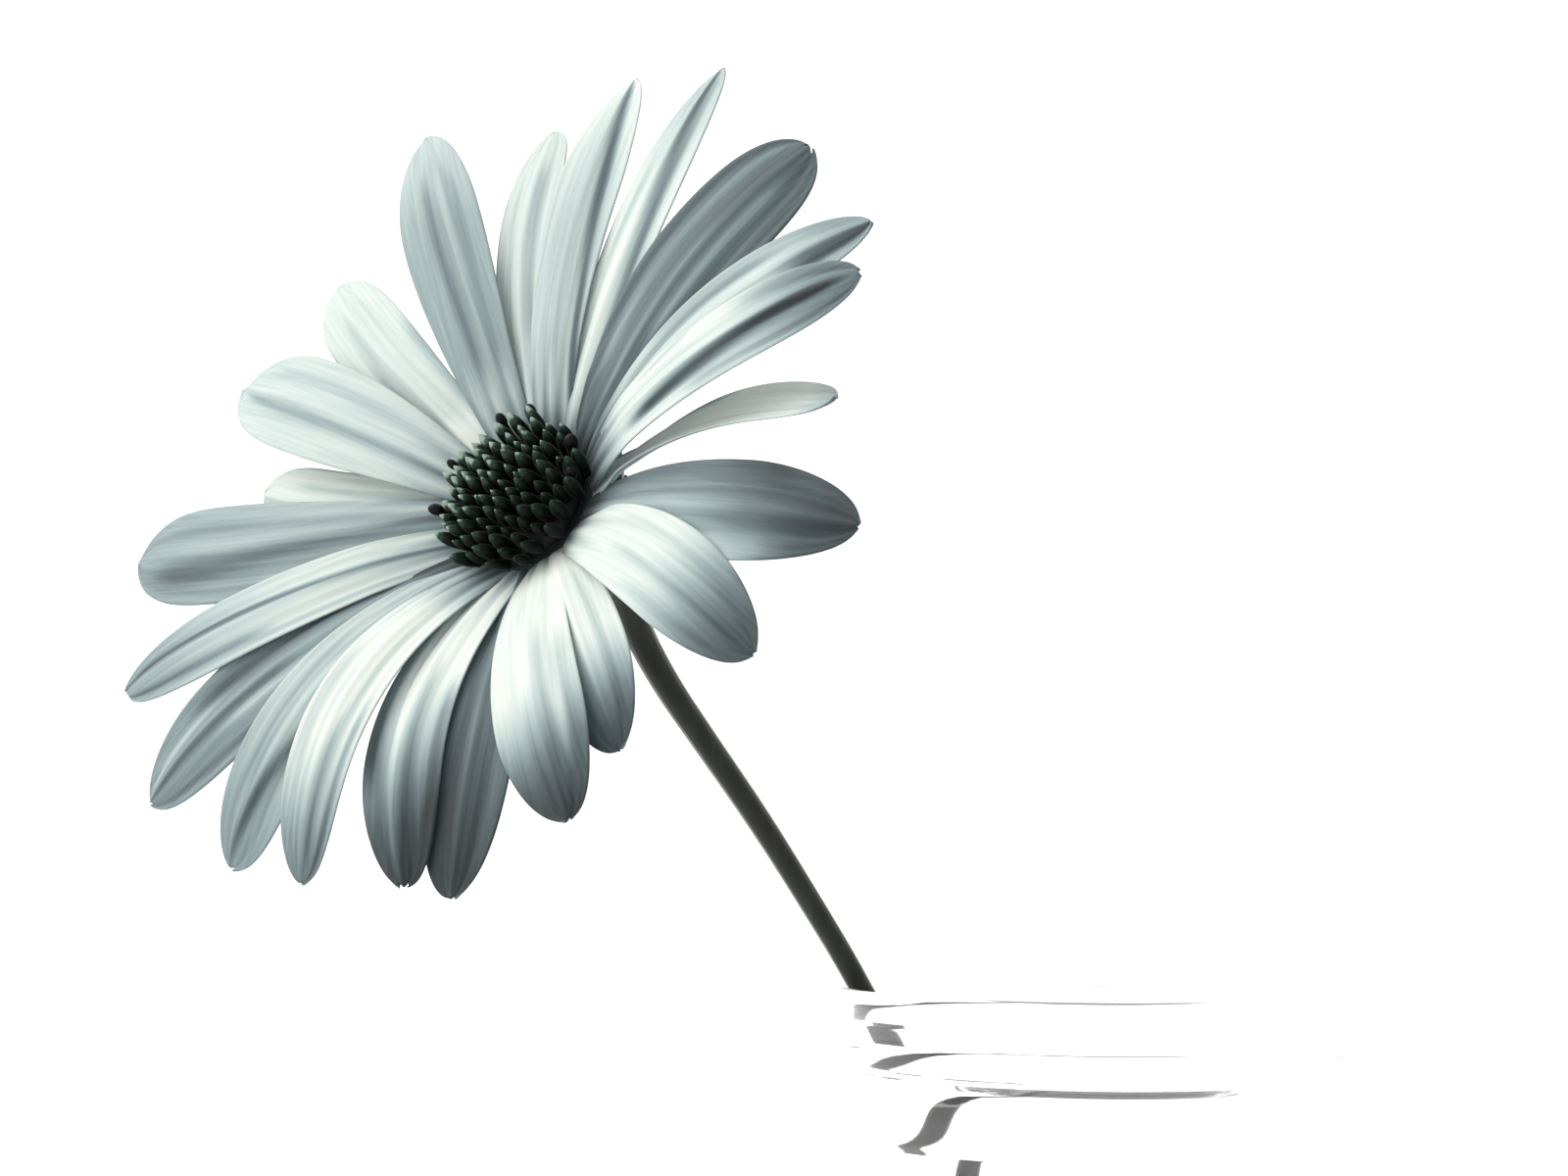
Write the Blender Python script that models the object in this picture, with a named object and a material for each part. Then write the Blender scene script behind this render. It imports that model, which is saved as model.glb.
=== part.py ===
"""One cut daisy that leans over the lip of a small clear glass vase of water.

The frame: metres, +Z up, the origin at the centre of the vase's flat foot.
Sizes below are in millimetres and degrees, and MM turns them to metres.
"""

import math

import bmesh
import bpy
from mathutils import Matrix, Vector

MM = 0.001
GAP = 0.3                      # left between pieces that touch

# Vase
RIM_TOP = 88.0
LIP_CENTRE_R = 19.5
LIP_HALF_WIDTH = 1.3
LIP_HALF_HEIGHT = 1.05
LIP_UNDER_DROP = 2.2           # where the neck meets the lip's underside, below the rim
NECK_OUTER_R = 20.1
NECK_INNER_R = 17.9
NECK_RING_DROP = 4.9           # fine ring round the neck, below the rim
NECK_RING_OUT = 0.4            # how far the fine ring stands out
NECK_RING_HALF_HEIGHT = 1.0
NECK_END_DROP = 6.3
BEAD_OUTER_R = 22.2            # collar bead under the neck
BEAD_DROP = 8.4                # its widest place, below the rim
BEAD_HALF_HEIGHT = 2.0
BEAD_UNDERCUT = 0.2            # how far the bead's centre lies inside the crease
BEAD_HOLLOW = 0.7              # how far the inner wall follows the bead out, as a share
CREASE_OUTER_R = 21.0
CREASE_DROP = 10.6
CREASE_INNER_DROP = 0.5        # the inner wall's bend, below the crease
BODY_OUTER_R = 23.2
WALL = 2.4
FLOOR = 4.0
FLOOR_INNER_R = 18.5
FLOOR_CORNER_R = 4.0
FOOT_FLAT_R = 17.5
FOOT_EDGE_R = 3.0
BODY_HEIGHTS = (9.0, 18.0, 30.0, 43.0, 54.0, 63.0, 71.0)
INNER_HEIGHTS = (16.0, 27.0, 38.0, 50.0, 60.0, 69.0)
VASE_SIDES = 36

# Water
WATER_LEVEL = 54.0

# Flower head: where the petals' plane crosses its axis, and which way the axis faces
HEAD = (-40.25, -12.0, 121.5)
FACES_LEFT = 33.5              # turned from the front, -Y, towards -X
FACES_UP = 20.6

# Stem, from the vase's floor over the lip to the back of the head
STEM_ROUTE = (
    (15.6, 0.0, 4.6),
    (12.8, 0.0, 15.0),
    (8.2, 0.0, 30.0),
    (0.9, 0.0, 50.0),
    (-8.0, 0.0, 70.0),
    (-17.5, 0.0, 88.0),
    (-21.5, -0.4, 94.7),
    (-25.2, -0.9, 100.5),
    (-29.2, -1.4, 106.3),
    (-31.7, -1.8, 110.0),
    (-33.7, -2.3, 113.6),
    (-35.0, -3.6, 116.8),
    (-36.4, -6.2, 118.8),
    (-37.65, -8.1, 119.7),
)
STEM_R_LOW = 0.72
STEM_R_HIGH = 1.35             # just under the head
HOLE_R = 1.1                   # the hole in the water that the stem stands in
STEM_BEVEL = 3                 # ten sides

# Ring that the petals grow from, in the head's own frame: Z is its axis
RING_INNER_R = 3.2
RING_OUTER_R = 5.7
RING_THICK = 1.0

# Petals
ROOT_R = 4.6
ROOT_UP = 0.75
LAYER_STEP = 0.45              # how far a petal lies over or under its neighbours
CLAW_WIDTH = 3.1
WIDEST_AT = 0.66
WIDENING = 1.15                # how slowly a petal widens from its claw
PETAL_THICK = 0.62
PETAL_ARCH = 0.12              # edges bent back, as a share of the half width
PETAL_GROOVE = 0.08            # depth of the two grooves, as a share of it too
PETAL_ROWS = 9
PETAL_COLUMNS = 4
TIP_NOTCH = 0.5
TIP_END = 0.985                # the blade stops just short of its outline's point
ROW_CROWDING = 1.35            # rows lie closer together towards the tip

# One line a petal, clockwise from the top as seen from the front: azimuth, length, width,
# lift at the root, lift at the tip, roll at the root, twist to the tip, layer, how far its
# middle bows to the clockwise side, and how full its tip is (1.5 pointed, 4 blunt)
PETALS = (
    (4.9, 30.0, 6.0, 32, -16, 0, 0, 1.0, 0.3, 1.6),
    (18.1, 31.0, 5.2, 32, -16, 0, 10, 0.0, 1.3, 2.2),
    (42.0, 28.4, 6.9, 38, -16, 0, 0, -1.0, 1.5, 3.6),
    (59.1, 28.6, 5.6, 40, -20, 4, 0, -0.2, 0.4, 3.0),
    (67.1, 26.8, 5.4, 38, -16, 0, 0, 0.8, 0.4, 2.8),
    (80.3, 21.7, 5.5, 17, -3, 35, -3, 0.0, -2.0, 2.6),
    (100.9, 27.0, 7.1, 32, -16, 0, 0, -0.3, 0.1, 1.8),
    (120.0, 24.7, 6.5, 32, -16, 0, 0, 1.2, -1.2, 1.8),
    (142.6, 21.0, 5.9, 32, -16, 0, 0, 1.5, -0.4, 2.0),
    (152.3, 24.1, 7.0, 32, -16, 0, 0, 0.0, 0.5, 1.8),
    (171.1, 26.4, 6.7, 32, -16, 0, 0, -1.9, -0.9, 2.6),
    (178.1, 25.6, 6.5, 32, -16, 4, 0, -0.2, 2.4, 1.9),
    (194.7, 27.5, 5.4, 42, -24, 6, 0, -0.2, 2.0, 3.0),
    (207.2, 29.0, 6.3, 40, -22, 6, 0, -0.6, 1.3, 3.4),
    (226.4, 31.2, 7.4, 38, -20, 4, 0, -1.2, -0.6, 2.6),
    (242.9, 30.4, 5.9, 34, -16, 0, 0, 0.6, -0.7, 1.7),
    (264.2, 31.8, 8.1, 32, -16, 0, 0, -0.3, -2.4, 2.4),
    (274.9, 21.8, 6.5, 32, -16, 0, 0, -1.2, -1.5, 2.5),
    (290.8, 28.0, 7.8, 32, -16, 0, 0, 0.9, 0.1, 2.6),
    (309.9, 27.5, 6.3, 32, -16, 0, 0, -1.0, -0.2, 2.4),
    (331.4, 33.0, 7.0, 32, -16, 0, 0, 0.8, 0.8, 1.8),
    (351.1, 28.0, 5.0, 32, -16, 0, 0, -1.0, -0.6, 2.2),
)

# Disc of florets
DISC_R = 5.8
DISC_BASE = RING_THICK + GAP
DISC_EDGE = 1.1                # height of the core at its edge and at its middle
DISC_MIDDLE = 2.4
CORE_RIM_IN = 0.5              # the core's rim stays this far inside the disc
CORE_CHAMFER = 0.7
FLORETS = 100
FLORET_R = 0.45
FLORET_TALL = 2.1              # root and all
FLORET_SUNK = 0.3
FLORET_LEAN = 0.55             # how far the outermost buds lean out
FLORET_SIDES = 5
BUD_STEPS = ((0.0, 0.7), (0.55, 1.0), (1.0, 0.15))    # height and width, as shares
GOLDEN_ANGLE = 137.508
# Opened florets with round heads, round the disc's edge
OPENED_ROOT_R = 4.7
OPENED_ROOT_UP = 0.6
OPENED_HEAD_UP = 2.5
OPENED_LONG = 1.5              # length of a head along its stalk, as a share of its width
STALK_R = 0.3
# One line each: azimuth, how far out its head is, head radius
OPENED = (
    (268, 6.2, 0.42),
    (291, 6.3, 0.36),
    (318, 6.1, 0.34),
    (339, 6.2, 0.38),
    (11, 6.1, 0.42),
    (56, 5.6, 0.50),
)

# Calyx: the green cup and its bracts, below the ring
CUP_TOP = -GAP
CUP_TOP_R = 5.4
CUP_DEEP = 4.6
CUP_STEM_R = 1.3
BRACTS = 13
BRACT_WIDTH = 2.4
BRACT_THICK = 0.62
BRACT_HOLLOW = 0.3             # edges bent up, as a share of the half width
BRACT_TURN = 7.0
BRACT_STAGGER = 0.15           # every other bract lies this much further in
# Distance from the axis and height of its root, of the bend and of its tip
BRACT_PATH = ((2.2, -4.6), (5.5, -3.5), (7.6, 0.5))
# The cup's side below its rim: share of the top radius and share of the depth
CUP_SIDE = ((1.02, 0.17), (0.86, 0.45), (0.55, 0.8))
STEM_IN_CUP = 1.6


def clear_scene():
    for old in list(bpy.data.objects):
        bpy.data.objects.remove(old, do_unlink=True)


def material(name, colour, roughness, transmission=0.0, ior=1.45):
    made = bpy.data.materials.new(name)
    made.use_nodes = True
    shader = made.node_tree.nodes["Principled BSDF"]
    shader.inputs["Base Color"].default_value = (*colour, 1.0)
    shader.inputs["Roughness"].default_value = roughness
    shader.inputs["Metallic"].default_value = 0.0
    shader.inputs["Transmission Weight"].default_value = transmission
    shader.inputs["IOR"].default_value = ior
    return made


def add_object(name, bm, stuff):
    """An object of this bmesh, which is given in metres."""
    mesh = bpy.data.meshes.new(name)
    bm.to_mesh(mesh)
    bm.free()
    mesh.materials.append(stuff)
    obj = bpy.data.objects.new(name, mesh)
    bpy.context.scene.collection.objects.link(obj)
    return obj


def round_off(obj, angle=40):
    obj.data.shade_smooth()
    obj.data.set_sharp_from_angle(angle=math.radians(angle))


def head_matrix():
    """The head's own frame: X to the right, Y up its face, Z along its axis."""
    turn = Matrix.Rotation(math.radians(-FACES_LEFT), 4, "Z")
    tip = Matrix.Rotation(math.radians(90 - FACES_UP), 4, "X")
    return Matrix.Translation(Vector(HEAD) * MM) @ turn @ tip


def arc(centre_x, centre_z, radius_x, radius_z, start, end, steps):
    """Points of an elliptic arc in the XZ plane, from one angle to another, in degrees."""
    found = []
    for i in range(steps + 1):
        a = math.radians(start + (end - start) * i / steps)
        found.append((centre_x + radius_x * math.cos(a), centre_z + radius_z * math.sin(a)))
    return found


def turned(profile, sides):
    """A bmesh of the (radius, height) profile in mm, spun about Z. Ends at radius 0 are closed."""
    bm = bmesh.new()
    points = [bm.verts.new((x * MM, 0.0, z * MM)) for x, z in profile]
    edges = [bm.edges.new(pair) for pair in zip(points, points[1:])]
    bmesh.ops.spin(
        bm, geom=points + edges, cent=(0, 0, 0), axis=(0, 0, 1),
        angle=math.tau, steps=sides, use_merge=True,
    )
    bmesh.ops.remove_doubles(bm, verts=bm.verts, dist=1e-6)
    bmesh.ops.recalc_face_normals(bm, faces=bm.faces)
    return bm


def union(base, others):
    """Joins the other objects to the base one, in one go, and removes them."""
    group = bpy.data.collections.new(base.name + "_parts")
    bpy.context.scene.collection.children.link(group)
    for obj in others:
        bpy.context.scene.collection.objects.unlink(obj)
        group.objects.link(obj)
    joined = base.modifiers.new("Join", "BOOLEAN")
    joined.operation = "UNION"
    joined.operand_type = "COLLECTION"
    joined.collection = group
    joined.solver = "EXACT"
    apply_modifiers(base)
    for obj in list(group.objects):
        bpy.data.objects.remove(obj, do_unlink=True)
    bpy.data.collections.remove(group)
    keep_outer_shell(base)


def shells(bm):
    """The sets of faces that hang together, as lists."""
    waiting = set(bm.faces)
    found = []
    while waiting:
        shell = [waiting.pop()]
        for face in shell:
            beside = {other for edge in face.edges for other in edge.link_faces} & waiting
            waiting -= beside
            shell.extend(beside)
        found.append(shell)
    return found


def keep_outer_shell(obj):
    """Fills hollows that the union sealed and drops loose scraps: all shells but the largest."""
    bm = bmesh.new()
    bm.from_mesh(obj.data)
    for shell in sorted(shells(bm), key=len)[:-1]:
        bmesh.ops.delete(bm, geom=shell, context="FACES")
    bm.to_mesh(obj.data)
    bm.free()


def apply_modifiers(obj):
    bpy.context.view_layer.update()
    graph = bpy.context.evaluated_depsgraph_get()
    finished = bpy.data.meshes.new_from_object(obj.evaluated_get(graph))
    obj.modifiers.clear()
    obj.data = finished


# Vase and water

def body_radius(height):
    """Outer radius of the body: a gentle swell between the foot and the collar's crease."""
    low, high = FOOT_EDGE_R, RIM_TOP - CREASE_DROP
    along = (height - low) / (high - low)
    swell = math.sin(math.pi * along ** 0.8)
    straight = FLOOR_INNER_R + WALL + (CREASE_OUTER_R - FLOOR_INNER_R - WALL) * along
    return straight + (BODY_OUTER_R - (FLOOR_INNER_R + WALL + CREASE_OUTER_R) / 2) * swell


def inner_profile(clear=0.0):
    """The inner wall from the floor's centre up to the neck, drawn in by this clearance."""
    corner = FLOOR_CORNER_R - clear
    middle_r = FLOOR_INNER_R - FLOOR_CORNER_R
    points = [(0.0, FLOOR + clear)]
    points += arc(middle_r, FLOOR + FLOOR_CORNER_R, corner, corner, -90, 0, 4)
    return points + [(body_radius(z) - WALL - clear, z) for z in INNER_HEIGHTS]


def make_vase():
    crease = RIM_TOP - CREASE_DROP
    outer = [(0.0, 0.0), (FOOT_FLAT_R, 0.0)]
    edge_out = body_radius(FOOT_EDGE_R) - FOOT_FLAT_R
    outer += arc(FOOT_FLAT_R, FOOT_EDGE_R, edge_out, FOOT_EDGE_R, -70, 0, 3)
    outer += [(body_radius(z), z) for z in BODY_HEIGHTS] + [(CREASE_OUTER_R, crease)]
    bead_r = CREASE_OUTER_R - BEAD_UNDERCUT
    bead_out = BEAD_OUTER_R - bead_r
    outer += arc(bead_r, RIM_TOP - BEAD_DROP, bead_out, BEAD_HALF_HEIGHT, -62, 62, 4)
    outer += [(NECK_OUTER_R, RIM_TOP - NECK_END_DROP)]
    outer += arc(NECK_OUTER_R, RIM_TOP - NECK_RING_DROP, NECK_RING_OUT, NECK_RING_HALF_HEIGHT, -90, 90, 4)
    outer += [(NECK_OUTER_R, RIM_TOP - LIP_UNDER_DROP)]
    lip = arc(LIP_CENTRE_R, RIM_TOP - LIP_HALF_HEIGHT, LIP_HALF_WIDTH, LIP_HALF_HEIGHT, -50, 190, 9)
    inner = [(NECK_INNER_R, RIM_TOP - LIP_UNDER_DROP), (NECK_INNER_R, RIM_TOP - NECK_END_DROP)]
    hollow = bead_out * BEAD_HOLLOW
    inner += arc(bead_r - WALL, RIM_TOP - BEAD_DROP, hollow, BEAD_HALF_HEIGHT, 50, -50, 3)
    inner += [(CREASE_OUTER_R - WALL, crease - CREASE_INNER_DROP)]
    profile = outer + lip + inner + inner_profile()[::-1]
    glass = material("clear_glass", (0.93, 0.96, 0.95), 0.02, 1.0, 1.5)
    vase = add_object("vase", turned(profile, VASE_SIDES), glass)
    round_off(vase)
    return vase


def make_water():
    profile = [(x, z) for x, z in inner_profile(GAP) if z < WATER_LEVEL - 1]
    profile += [(body_radius(WATER_LEVEL) - WALL - GAP, WATER_LEVEL), (0.0, WATER_LEVEL)]
    clear = material("water", (0.95, 0.98, 0.98), 0.02, 1.0, 1.33)
    water = add_object("water", turned(profile, VASE_SIDES), clear)
    hole = stem_tube("stem_hole", HOLE_R, HOLE_R, water_hole_route())
    hole.hide_render = True
    hole.display_type = "WIRE"
    cut = water.modifiers.new("Stem hole", "BOOLEAN")
    cut.operation = "DIFFERENCE"
    cut.object = hole
    round_off(water)
    return water


# Stem and calyx

def smooth_route(points, steps):
    """Points of the smooth curve through the route's own points, so many to a stretch."""
    found = []
    for i in range(len(points) - 1):
        before = points[max(i - 1, 0)]
        start, end = points[i], points[i + 1]
        after = points[min(i + 2, len(points) - 1)]
        reach = (end - start).length
        out = (end - before).normalized() * reach
        into = (after - start).normalized() * reach
        for step in range(steps):
            t = step / steps
            found.append(
                start * (2 * t**3 - 3 * t**2 + 1) + out * (t**3 - 2 * t**2 + t)
                + end * (3 * t**2 - 2 * t**3) + into * (t**3 - t**2)
            )
    return found + [points[-1]]


def stem_route():
    return smooth_route([Vector(point) for point in STEM_ROUTE], 3)


def water_hole_route():
    """The stem's own route, run on below its end and stopped above the water."""
    route = [point for point in stem_route() if point.z < WATER_LEVEL + 8]
    below = route[0] + (route[0] - route[1]).normalized() * 4
    return [below] + route


def stem_tube(name, radius_start, radius_end, route):
    """A round tube along the route, with closed ends, that thickens ever faster towards its end."""
    curve = bpy.data.curves.new(name, "CURVE")
    curve.dimensions = "3D"
    curve.bevel_depth = MM
    curve.bevel_resolution = STEM_BEVEL
    curve.use_fill_caps = True
    line = curve.splines.new("POLY")
    line.points.add(len(route) - 1)
    for i, (spot, point) in enumerate(zip(line.points, route)):
        spot.co = (*(point * MM), 1.0)
        along = i / (len(route) - 1)
        spot.radius = radius_start + (radius_end - radius_start) * along**2
    holder = bpy.data.objects.new(name + "_curve", curve)
    bpy.context.scene.collection.objects.link(holder)
    bpy.context.view_layer.update()
    mesh = bpy.data.meshes.new_from_object(holder.evaluated_get(bpy.context.evaluated_depsgraph_get()))
    bpy.data.objects.remove(holder, do_unlink=True)
    bm = bmesh.new()
    bm.from_mesh(mesh)
    bpy.data.meshes.remove(mesh)
    bmesh.ops.remove_doubles(bm, verts=bm.verts, dist=1e-6)
    bmesh.ops.recalc_face_normals(bm, faces=bm.faces)
    return add_object(name, bm, stem_material())


def stem_material():
    return bpy.data.materials.get("stem_skin") or material("stem_skin", (0.09, 0.12, 0.10), 0.6)


def cup_profile():
    """The calyx cup, from its top rim down to the stem, with the receptacle that carries the disc."""
    column_r = RING_INNER_R - GAP
    column_top = RING_THICK
    side = [(0.0, column_top), (column_r, column_top), (column_r, CUP_TOP), (CUP_TOP_R, CUP_TOP)]
    side += [(CUP_TOP_R * width, CUP_TOP - CUP_DEEP * down) for width, down in CUP_SIDE]
    side += [(CUP_STEM_R, CUP_TOP - CUP_DEEP)]
    inside = CUP_TOP - CUP_DEEP - STEM_IN_CUP
    return side + [(CUP_STEM_R * 0.8, inside), (0.0, inside)]


def bract(number):
    """One pointed bract that hugs the cup's side, widest low down, and lies out under the petals."""
    inward = BRACT_STAGGER * (number % 2)
    start, bend, end = (Vector((out - inward, up)) for out, up in BRACT_PATH)
    bm = bmesh.new()
    bmesh.ops.create_grid(bm, x_segments=2, y_segments=4, size=0.5)
    for vert in bm.verts:
        across, along = 2 * vert.co.x, vert.co.y + 0.5
        out, up = start * (1 - along) ** 2 + bend * 2 * along * (1 - along) + end * along**2
        half = BRACT_WIDTH / 2 * (0.55 + 1.6 * along * (1 - along)) * (1 - 0.8 * along**3)
        vert.co = Vector((half * across, out, up + BRACT_HOLLOW * half * across**2)) * MM
    thicken(bm, BRACT_THICK)
    turn = Matrix.Rotation(math.tau * number / BRACTS + math.radians(BRACT_TURN), 3, "Z")
    bmesh.ops.rotate(bm, verts=bm.verts, cent=(0, 0, 0), matrix=turn)
    obj = add_object("bract", bm, stem_material())
    obj.matrix_world = head_matrix()
    return obj


def thicken(bm, thick):
    """Makes the one-sided sheet a closed blade, with triangles alike on both faces."""
    bmesh.ops.triangulate(bm, faces=bm.faces, quad_method="FIXED")
    bmesh.ops.solidify(bm, geom=bm.faces, thickness=thick * MM)
    bmesh.ops.recalc_face_normals(bm, faces=bm.faces)
    if bm.calc_volume(signed=True) < 0:
        bmesh.ops.reverse_faces(bm, faces=bm.faces)


def make_stem():
    stem = stem_tube("stem", STEM_R_LOW, STEM_R_HIGH, stem_route())
    cup = add_object("cup", turned(cup_profile(), 26), stem_material())
    cup.matrix_world = head_matrix()
    union(stem, [cup] + [bract(i) for i in range(BRACTS)])
    round_off(stem)
    return stem


# Petals

def petal_half_width(along, width, fullness):
    grow = math.sin(math.pi / 2 * min(along / WIDEST_AT, 1)) ** WIDENING
    past = max(0.0, along - WIDEST_AT) / (1 - WIDEST_AT)
    return (CLAW_WIDTH + (width - CLAW_WIDTH) * grow) * math.sqrt(max(0.0, 1 - past**fullness)) / 2


def petal_point(petal, along, across):
    """A point of the petal's face in the head's frame: along 0 to 1, across -1 to 1."""
    azimuth, length, width, lift_root, lift_tip, roll, twist, layer, bow, fullness = petal
    azimuth = math.radians(azimuth)
    outward = Vector((math.sin(azimuth), math.cos(azimuth), 0))
    sideways = Vector((math.cos(azimuth), -math.sin(azimuth), 0))
    axis = Vector((0, 0, 1))
    start = math.radians(lift_root)
    bend = math.radians(lift_tip - lift_root)
    lift = start + bend * along
    far = ROOT_R + length * (math.sin(lift) - math.sin(start)) / bend
    high = ROOT_UP + LAYER_STEP * layer * min(1.0, 4 * along)
    high += length * (math.cos(start) - math.cos(lift)) / bend
    face = axis * math.cos(lift) - outward * math.sin(lift)
    turn = math.radians(roll * min(1.0, 5 * along) + twist * along)
    side = sideways * math.cos(turn) + face * math.sin(turn)
    face = face * math.cos(turn) - sideways * math.sin(turn)
    half = petal_half_width(along, width, fullness)
    groove = PETAL_GROOVE * min(1.0, 4 * along) * (math.cos(2 * math.pi * across) - 1) / 2
    relief = half * (groove - PETAL_ARCH * across**2)
    middle = outward * far + axis * high + sideways * bow * math.sin(math.pi * along)
    return middle + side * half * across + face * relief


def petal_solid(petal):
    bm = bmesh.new()
    bmesh.ops.create_grid(bm, x_segments=PETAL_COLUMNS, y_segments=PETAL_ROWS, size=0.5)
    notch = TIP_NOTCH / petal[1]
    for vert in bm.verts:
        across, row = 2 * vert.co.x, vert.co.y + 0.5
        along = TIP_END * (1 - (1 - row) ** ROW_CROWDING)
        along -= notch * (1 - abs(across)) * (row == 1)
        vert.co = petal_point(petal, along, across) * MM
    thicken(bm, PETAL_THICK)
    return add_object("petal", bm, petal_material())


def petal_material():
    return bpy.data.materials.get("petal_skin") or material("petal_skin", (0.72, 0.78, 0.77), 0.55)


def make_petals():
    below = [(RING_INNER_R, 0.0), (RING_OUTER_R, 0.0)]
    above = [(RING_OUTER_R, RING_THICK), (RING_INNER_R, RING_THICK)]
    ring = add_object("petals", turned(below + above + below[:1], 44), petal_material())
    union(ring, [petal_solid(petal) for petal in PETALS])
    ring.matrix_world = head_matrix()
    round_off(ring, 60)
    return ring


# Disc

def core_height(radius):
    """Height of the core's dome above the disc's base."""
    return DISC_EDGE + (DISC_MIDDLE - DISC_EDGE) * (1 - (radius / DISC_R) ** 2)


def core_profile():
    rim = DISC_R - CORE_RIM_IN
    side = [(0.0, 0.0), (rim - CORE_CHAMFER, 0.0), (rim, CORE_CHAMFER)]
    side += [(rim * share, core_height(rim * share)) for share in (1.0, 0.9, 0.7, 0.4, 0.0)]
    return [(r, DISC_BASE + h) for r, h in side]


def bud(place, lean):
    """A pointed bud: a few-sided tube that swells and closes to a tip."""
    bm = bmesh.new()
    height, size = BUD_STEPS[0]
    bmesh.ops.create_circle(bm, segments=FLORET_SIDES, radius=FLORET_R * size * MM)
    edges = bm.edges[:]
    for next_height, next_size in BUD_STEPS[1:]:
        raised = bmesh.ops.extrude_edge_only(bm, edges=edges)["geom"]
        verts = [item for item in raised if isinstance(item, bmesh.types.BMVert)]
        edges = [item for item in raised if isinstance(item, bmesh.types.BMEdge)]
        bmesh.ops.translate(bm, verts=verts, vec=(0, 0, (next_height - height) * FLORET_TALL * MM))
        scale = next_size / size
        bmesh.ops.scale(bm, verts=verts, vec=(scale, scale, 1))
        height, size = next_height, next_size
    bmesh.ops.holes_fill(bm, edges=bm.edges)
    bmesh.ops.recalc_face_normals(bm, faces=bm.faces)
    turn = Vector((0, 0, 1)).rotation_difference(lean).to_matrix().to_4x4()
    bmesh.ops.transform(bm, matrix=Matrix.Translation(place * MM) @ turn, verts=bm.verts)
    return add_object("bud", bm, disc_material())


def disc_material():
    return bpy.data.materials.get("disc_florets") or material("disc_florets", (0.012, 0.018, 0.016), 0.5)


def florets():
    made = []
    for i in range(FLORETS):
        radius = (DISC_R - FLORET_R) * math.sqrt((i + 0.5) / FLORETS)
        angle = math.radians(GOLDEN_ANGLE * i)
        outward = Vector((math.cos(angle), math.sin(angle), 0))
        lean = (Vector((0, 0, 1)) + outward * FLORET_LEAN * (radius / DISC_R) ** 2).normalized()
        place = outward * radius + Vector((0, 0, DISC_BASE + core_height(radius) - FLORET_SUNK))
        made.append(bud(place, lean))
    return made


def opened_floret(azimuth, out, head_r):
    """A stalk from the disc's side with a small oval head."""
    azimuth = math.radians(azimuth)
    outward = Vector((math.sin(azimuth), math.cos(azimuth), 0))
    foot = outward * OPENED_ROOT_R + Vector((0, 0, DISC_BASE + OPENED_ROOT_UP))
    head = outward * out + Vector((0, 0, DISC_BASE + OPENED_HEAD_UP))
    way = head - foot
    bm = bmesh.new()
    bmesh.ops.create_cone(
        bm, cap_ends=True, segments=6, radius1=STALK_R * MM, radius2=STALK_R * MM, depth=way.length * MM
    )
    turn = Vector((0, 0, 1)).rotation_difference(way.normalized()).to_matrix().to_4x4()
    bmesh.ops.transform(bm, matrix=Matrix.Translation((foot + way / 2) * MM) @ turn, verts=bm.verts)
    stalk = add_object("stalk", bm, disc_material())
    bm = bmesh.new()
    bmesh.ops.create_icosphere(bm, subdivisions=1, radius=head_r * MM)
    longer = Matrix.Diagonal((1, 1, OPENED_LONG, 1))
    bmesh.ops.transform(bm, matrix=Matrix.Translation(head * MM) @ turn @ longer, verts=bm.verts)
    return [stalk, add_object("oval_head", bm, disc_material())]


def make_disc():
    disc = add_object("disc", turned(core_profile(), 24), disc_material())
    extra = [piece for row in OPENED for piece in opened_floret(*row)]
    union(disc, florets() + extra)
    disc.matrix_world = head_matrix()
    round_off(disc)
    return disc


def main():
    clear_scene()
    make_vase()
    make_water()
    make_stem()
    make_petals()
    make_disc()


main()
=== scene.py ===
# %% [markdown]
# # A daisy leaning in a small glass vase
# One cut flower stands in a clear glass vase of water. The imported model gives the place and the
# size of its five solids: vase, water, stem, petals and disc. Here each of them gets its finer
# form and its finish. Shapes are drawn in millimetres and turned to metres at the very end of
# each piece, because petals and florets are easier to picture in those numbers.

# %% Load the frame
import math
import random

import bmesh
import bpy
from mathutils import Matrix, Vector


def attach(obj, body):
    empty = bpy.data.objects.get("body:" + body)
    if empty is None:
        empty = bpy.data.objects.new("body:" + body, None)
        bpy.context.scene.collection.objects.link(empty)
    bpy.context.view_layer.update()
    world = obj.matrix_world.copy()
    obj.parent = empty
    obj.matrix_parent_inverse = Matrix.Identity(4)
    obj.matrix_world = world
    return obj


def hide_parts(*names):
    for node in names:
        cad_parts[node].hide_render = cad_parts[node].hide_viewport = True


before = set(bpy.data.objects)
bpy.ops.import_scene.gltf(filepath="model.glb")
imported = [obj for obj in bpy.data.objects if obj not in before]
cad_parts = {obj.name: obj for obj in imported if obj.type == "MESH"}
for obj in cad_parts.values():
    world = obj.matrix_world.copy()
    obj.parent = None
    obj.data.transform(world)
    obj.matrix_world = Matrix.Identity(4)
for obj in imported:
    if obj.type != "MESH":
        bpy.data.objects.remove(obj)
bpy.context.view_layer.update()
MM = 0.001

# %% [markdown]
# ## Camera
# The camera comes first, so that every later choice can be looked at through it. It stands a
# little above the vase's rim and close to the flower, tipped slightly up. That is why the picture
# ends below the vase's collar and shows the rim as a very flat ellipse.

# %% Camera
CAMERA_AT = (-23, -165, 99)
CAMERA_TIP = 96.4  # degrees: 0 looks straight down and 90 is level

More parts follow.
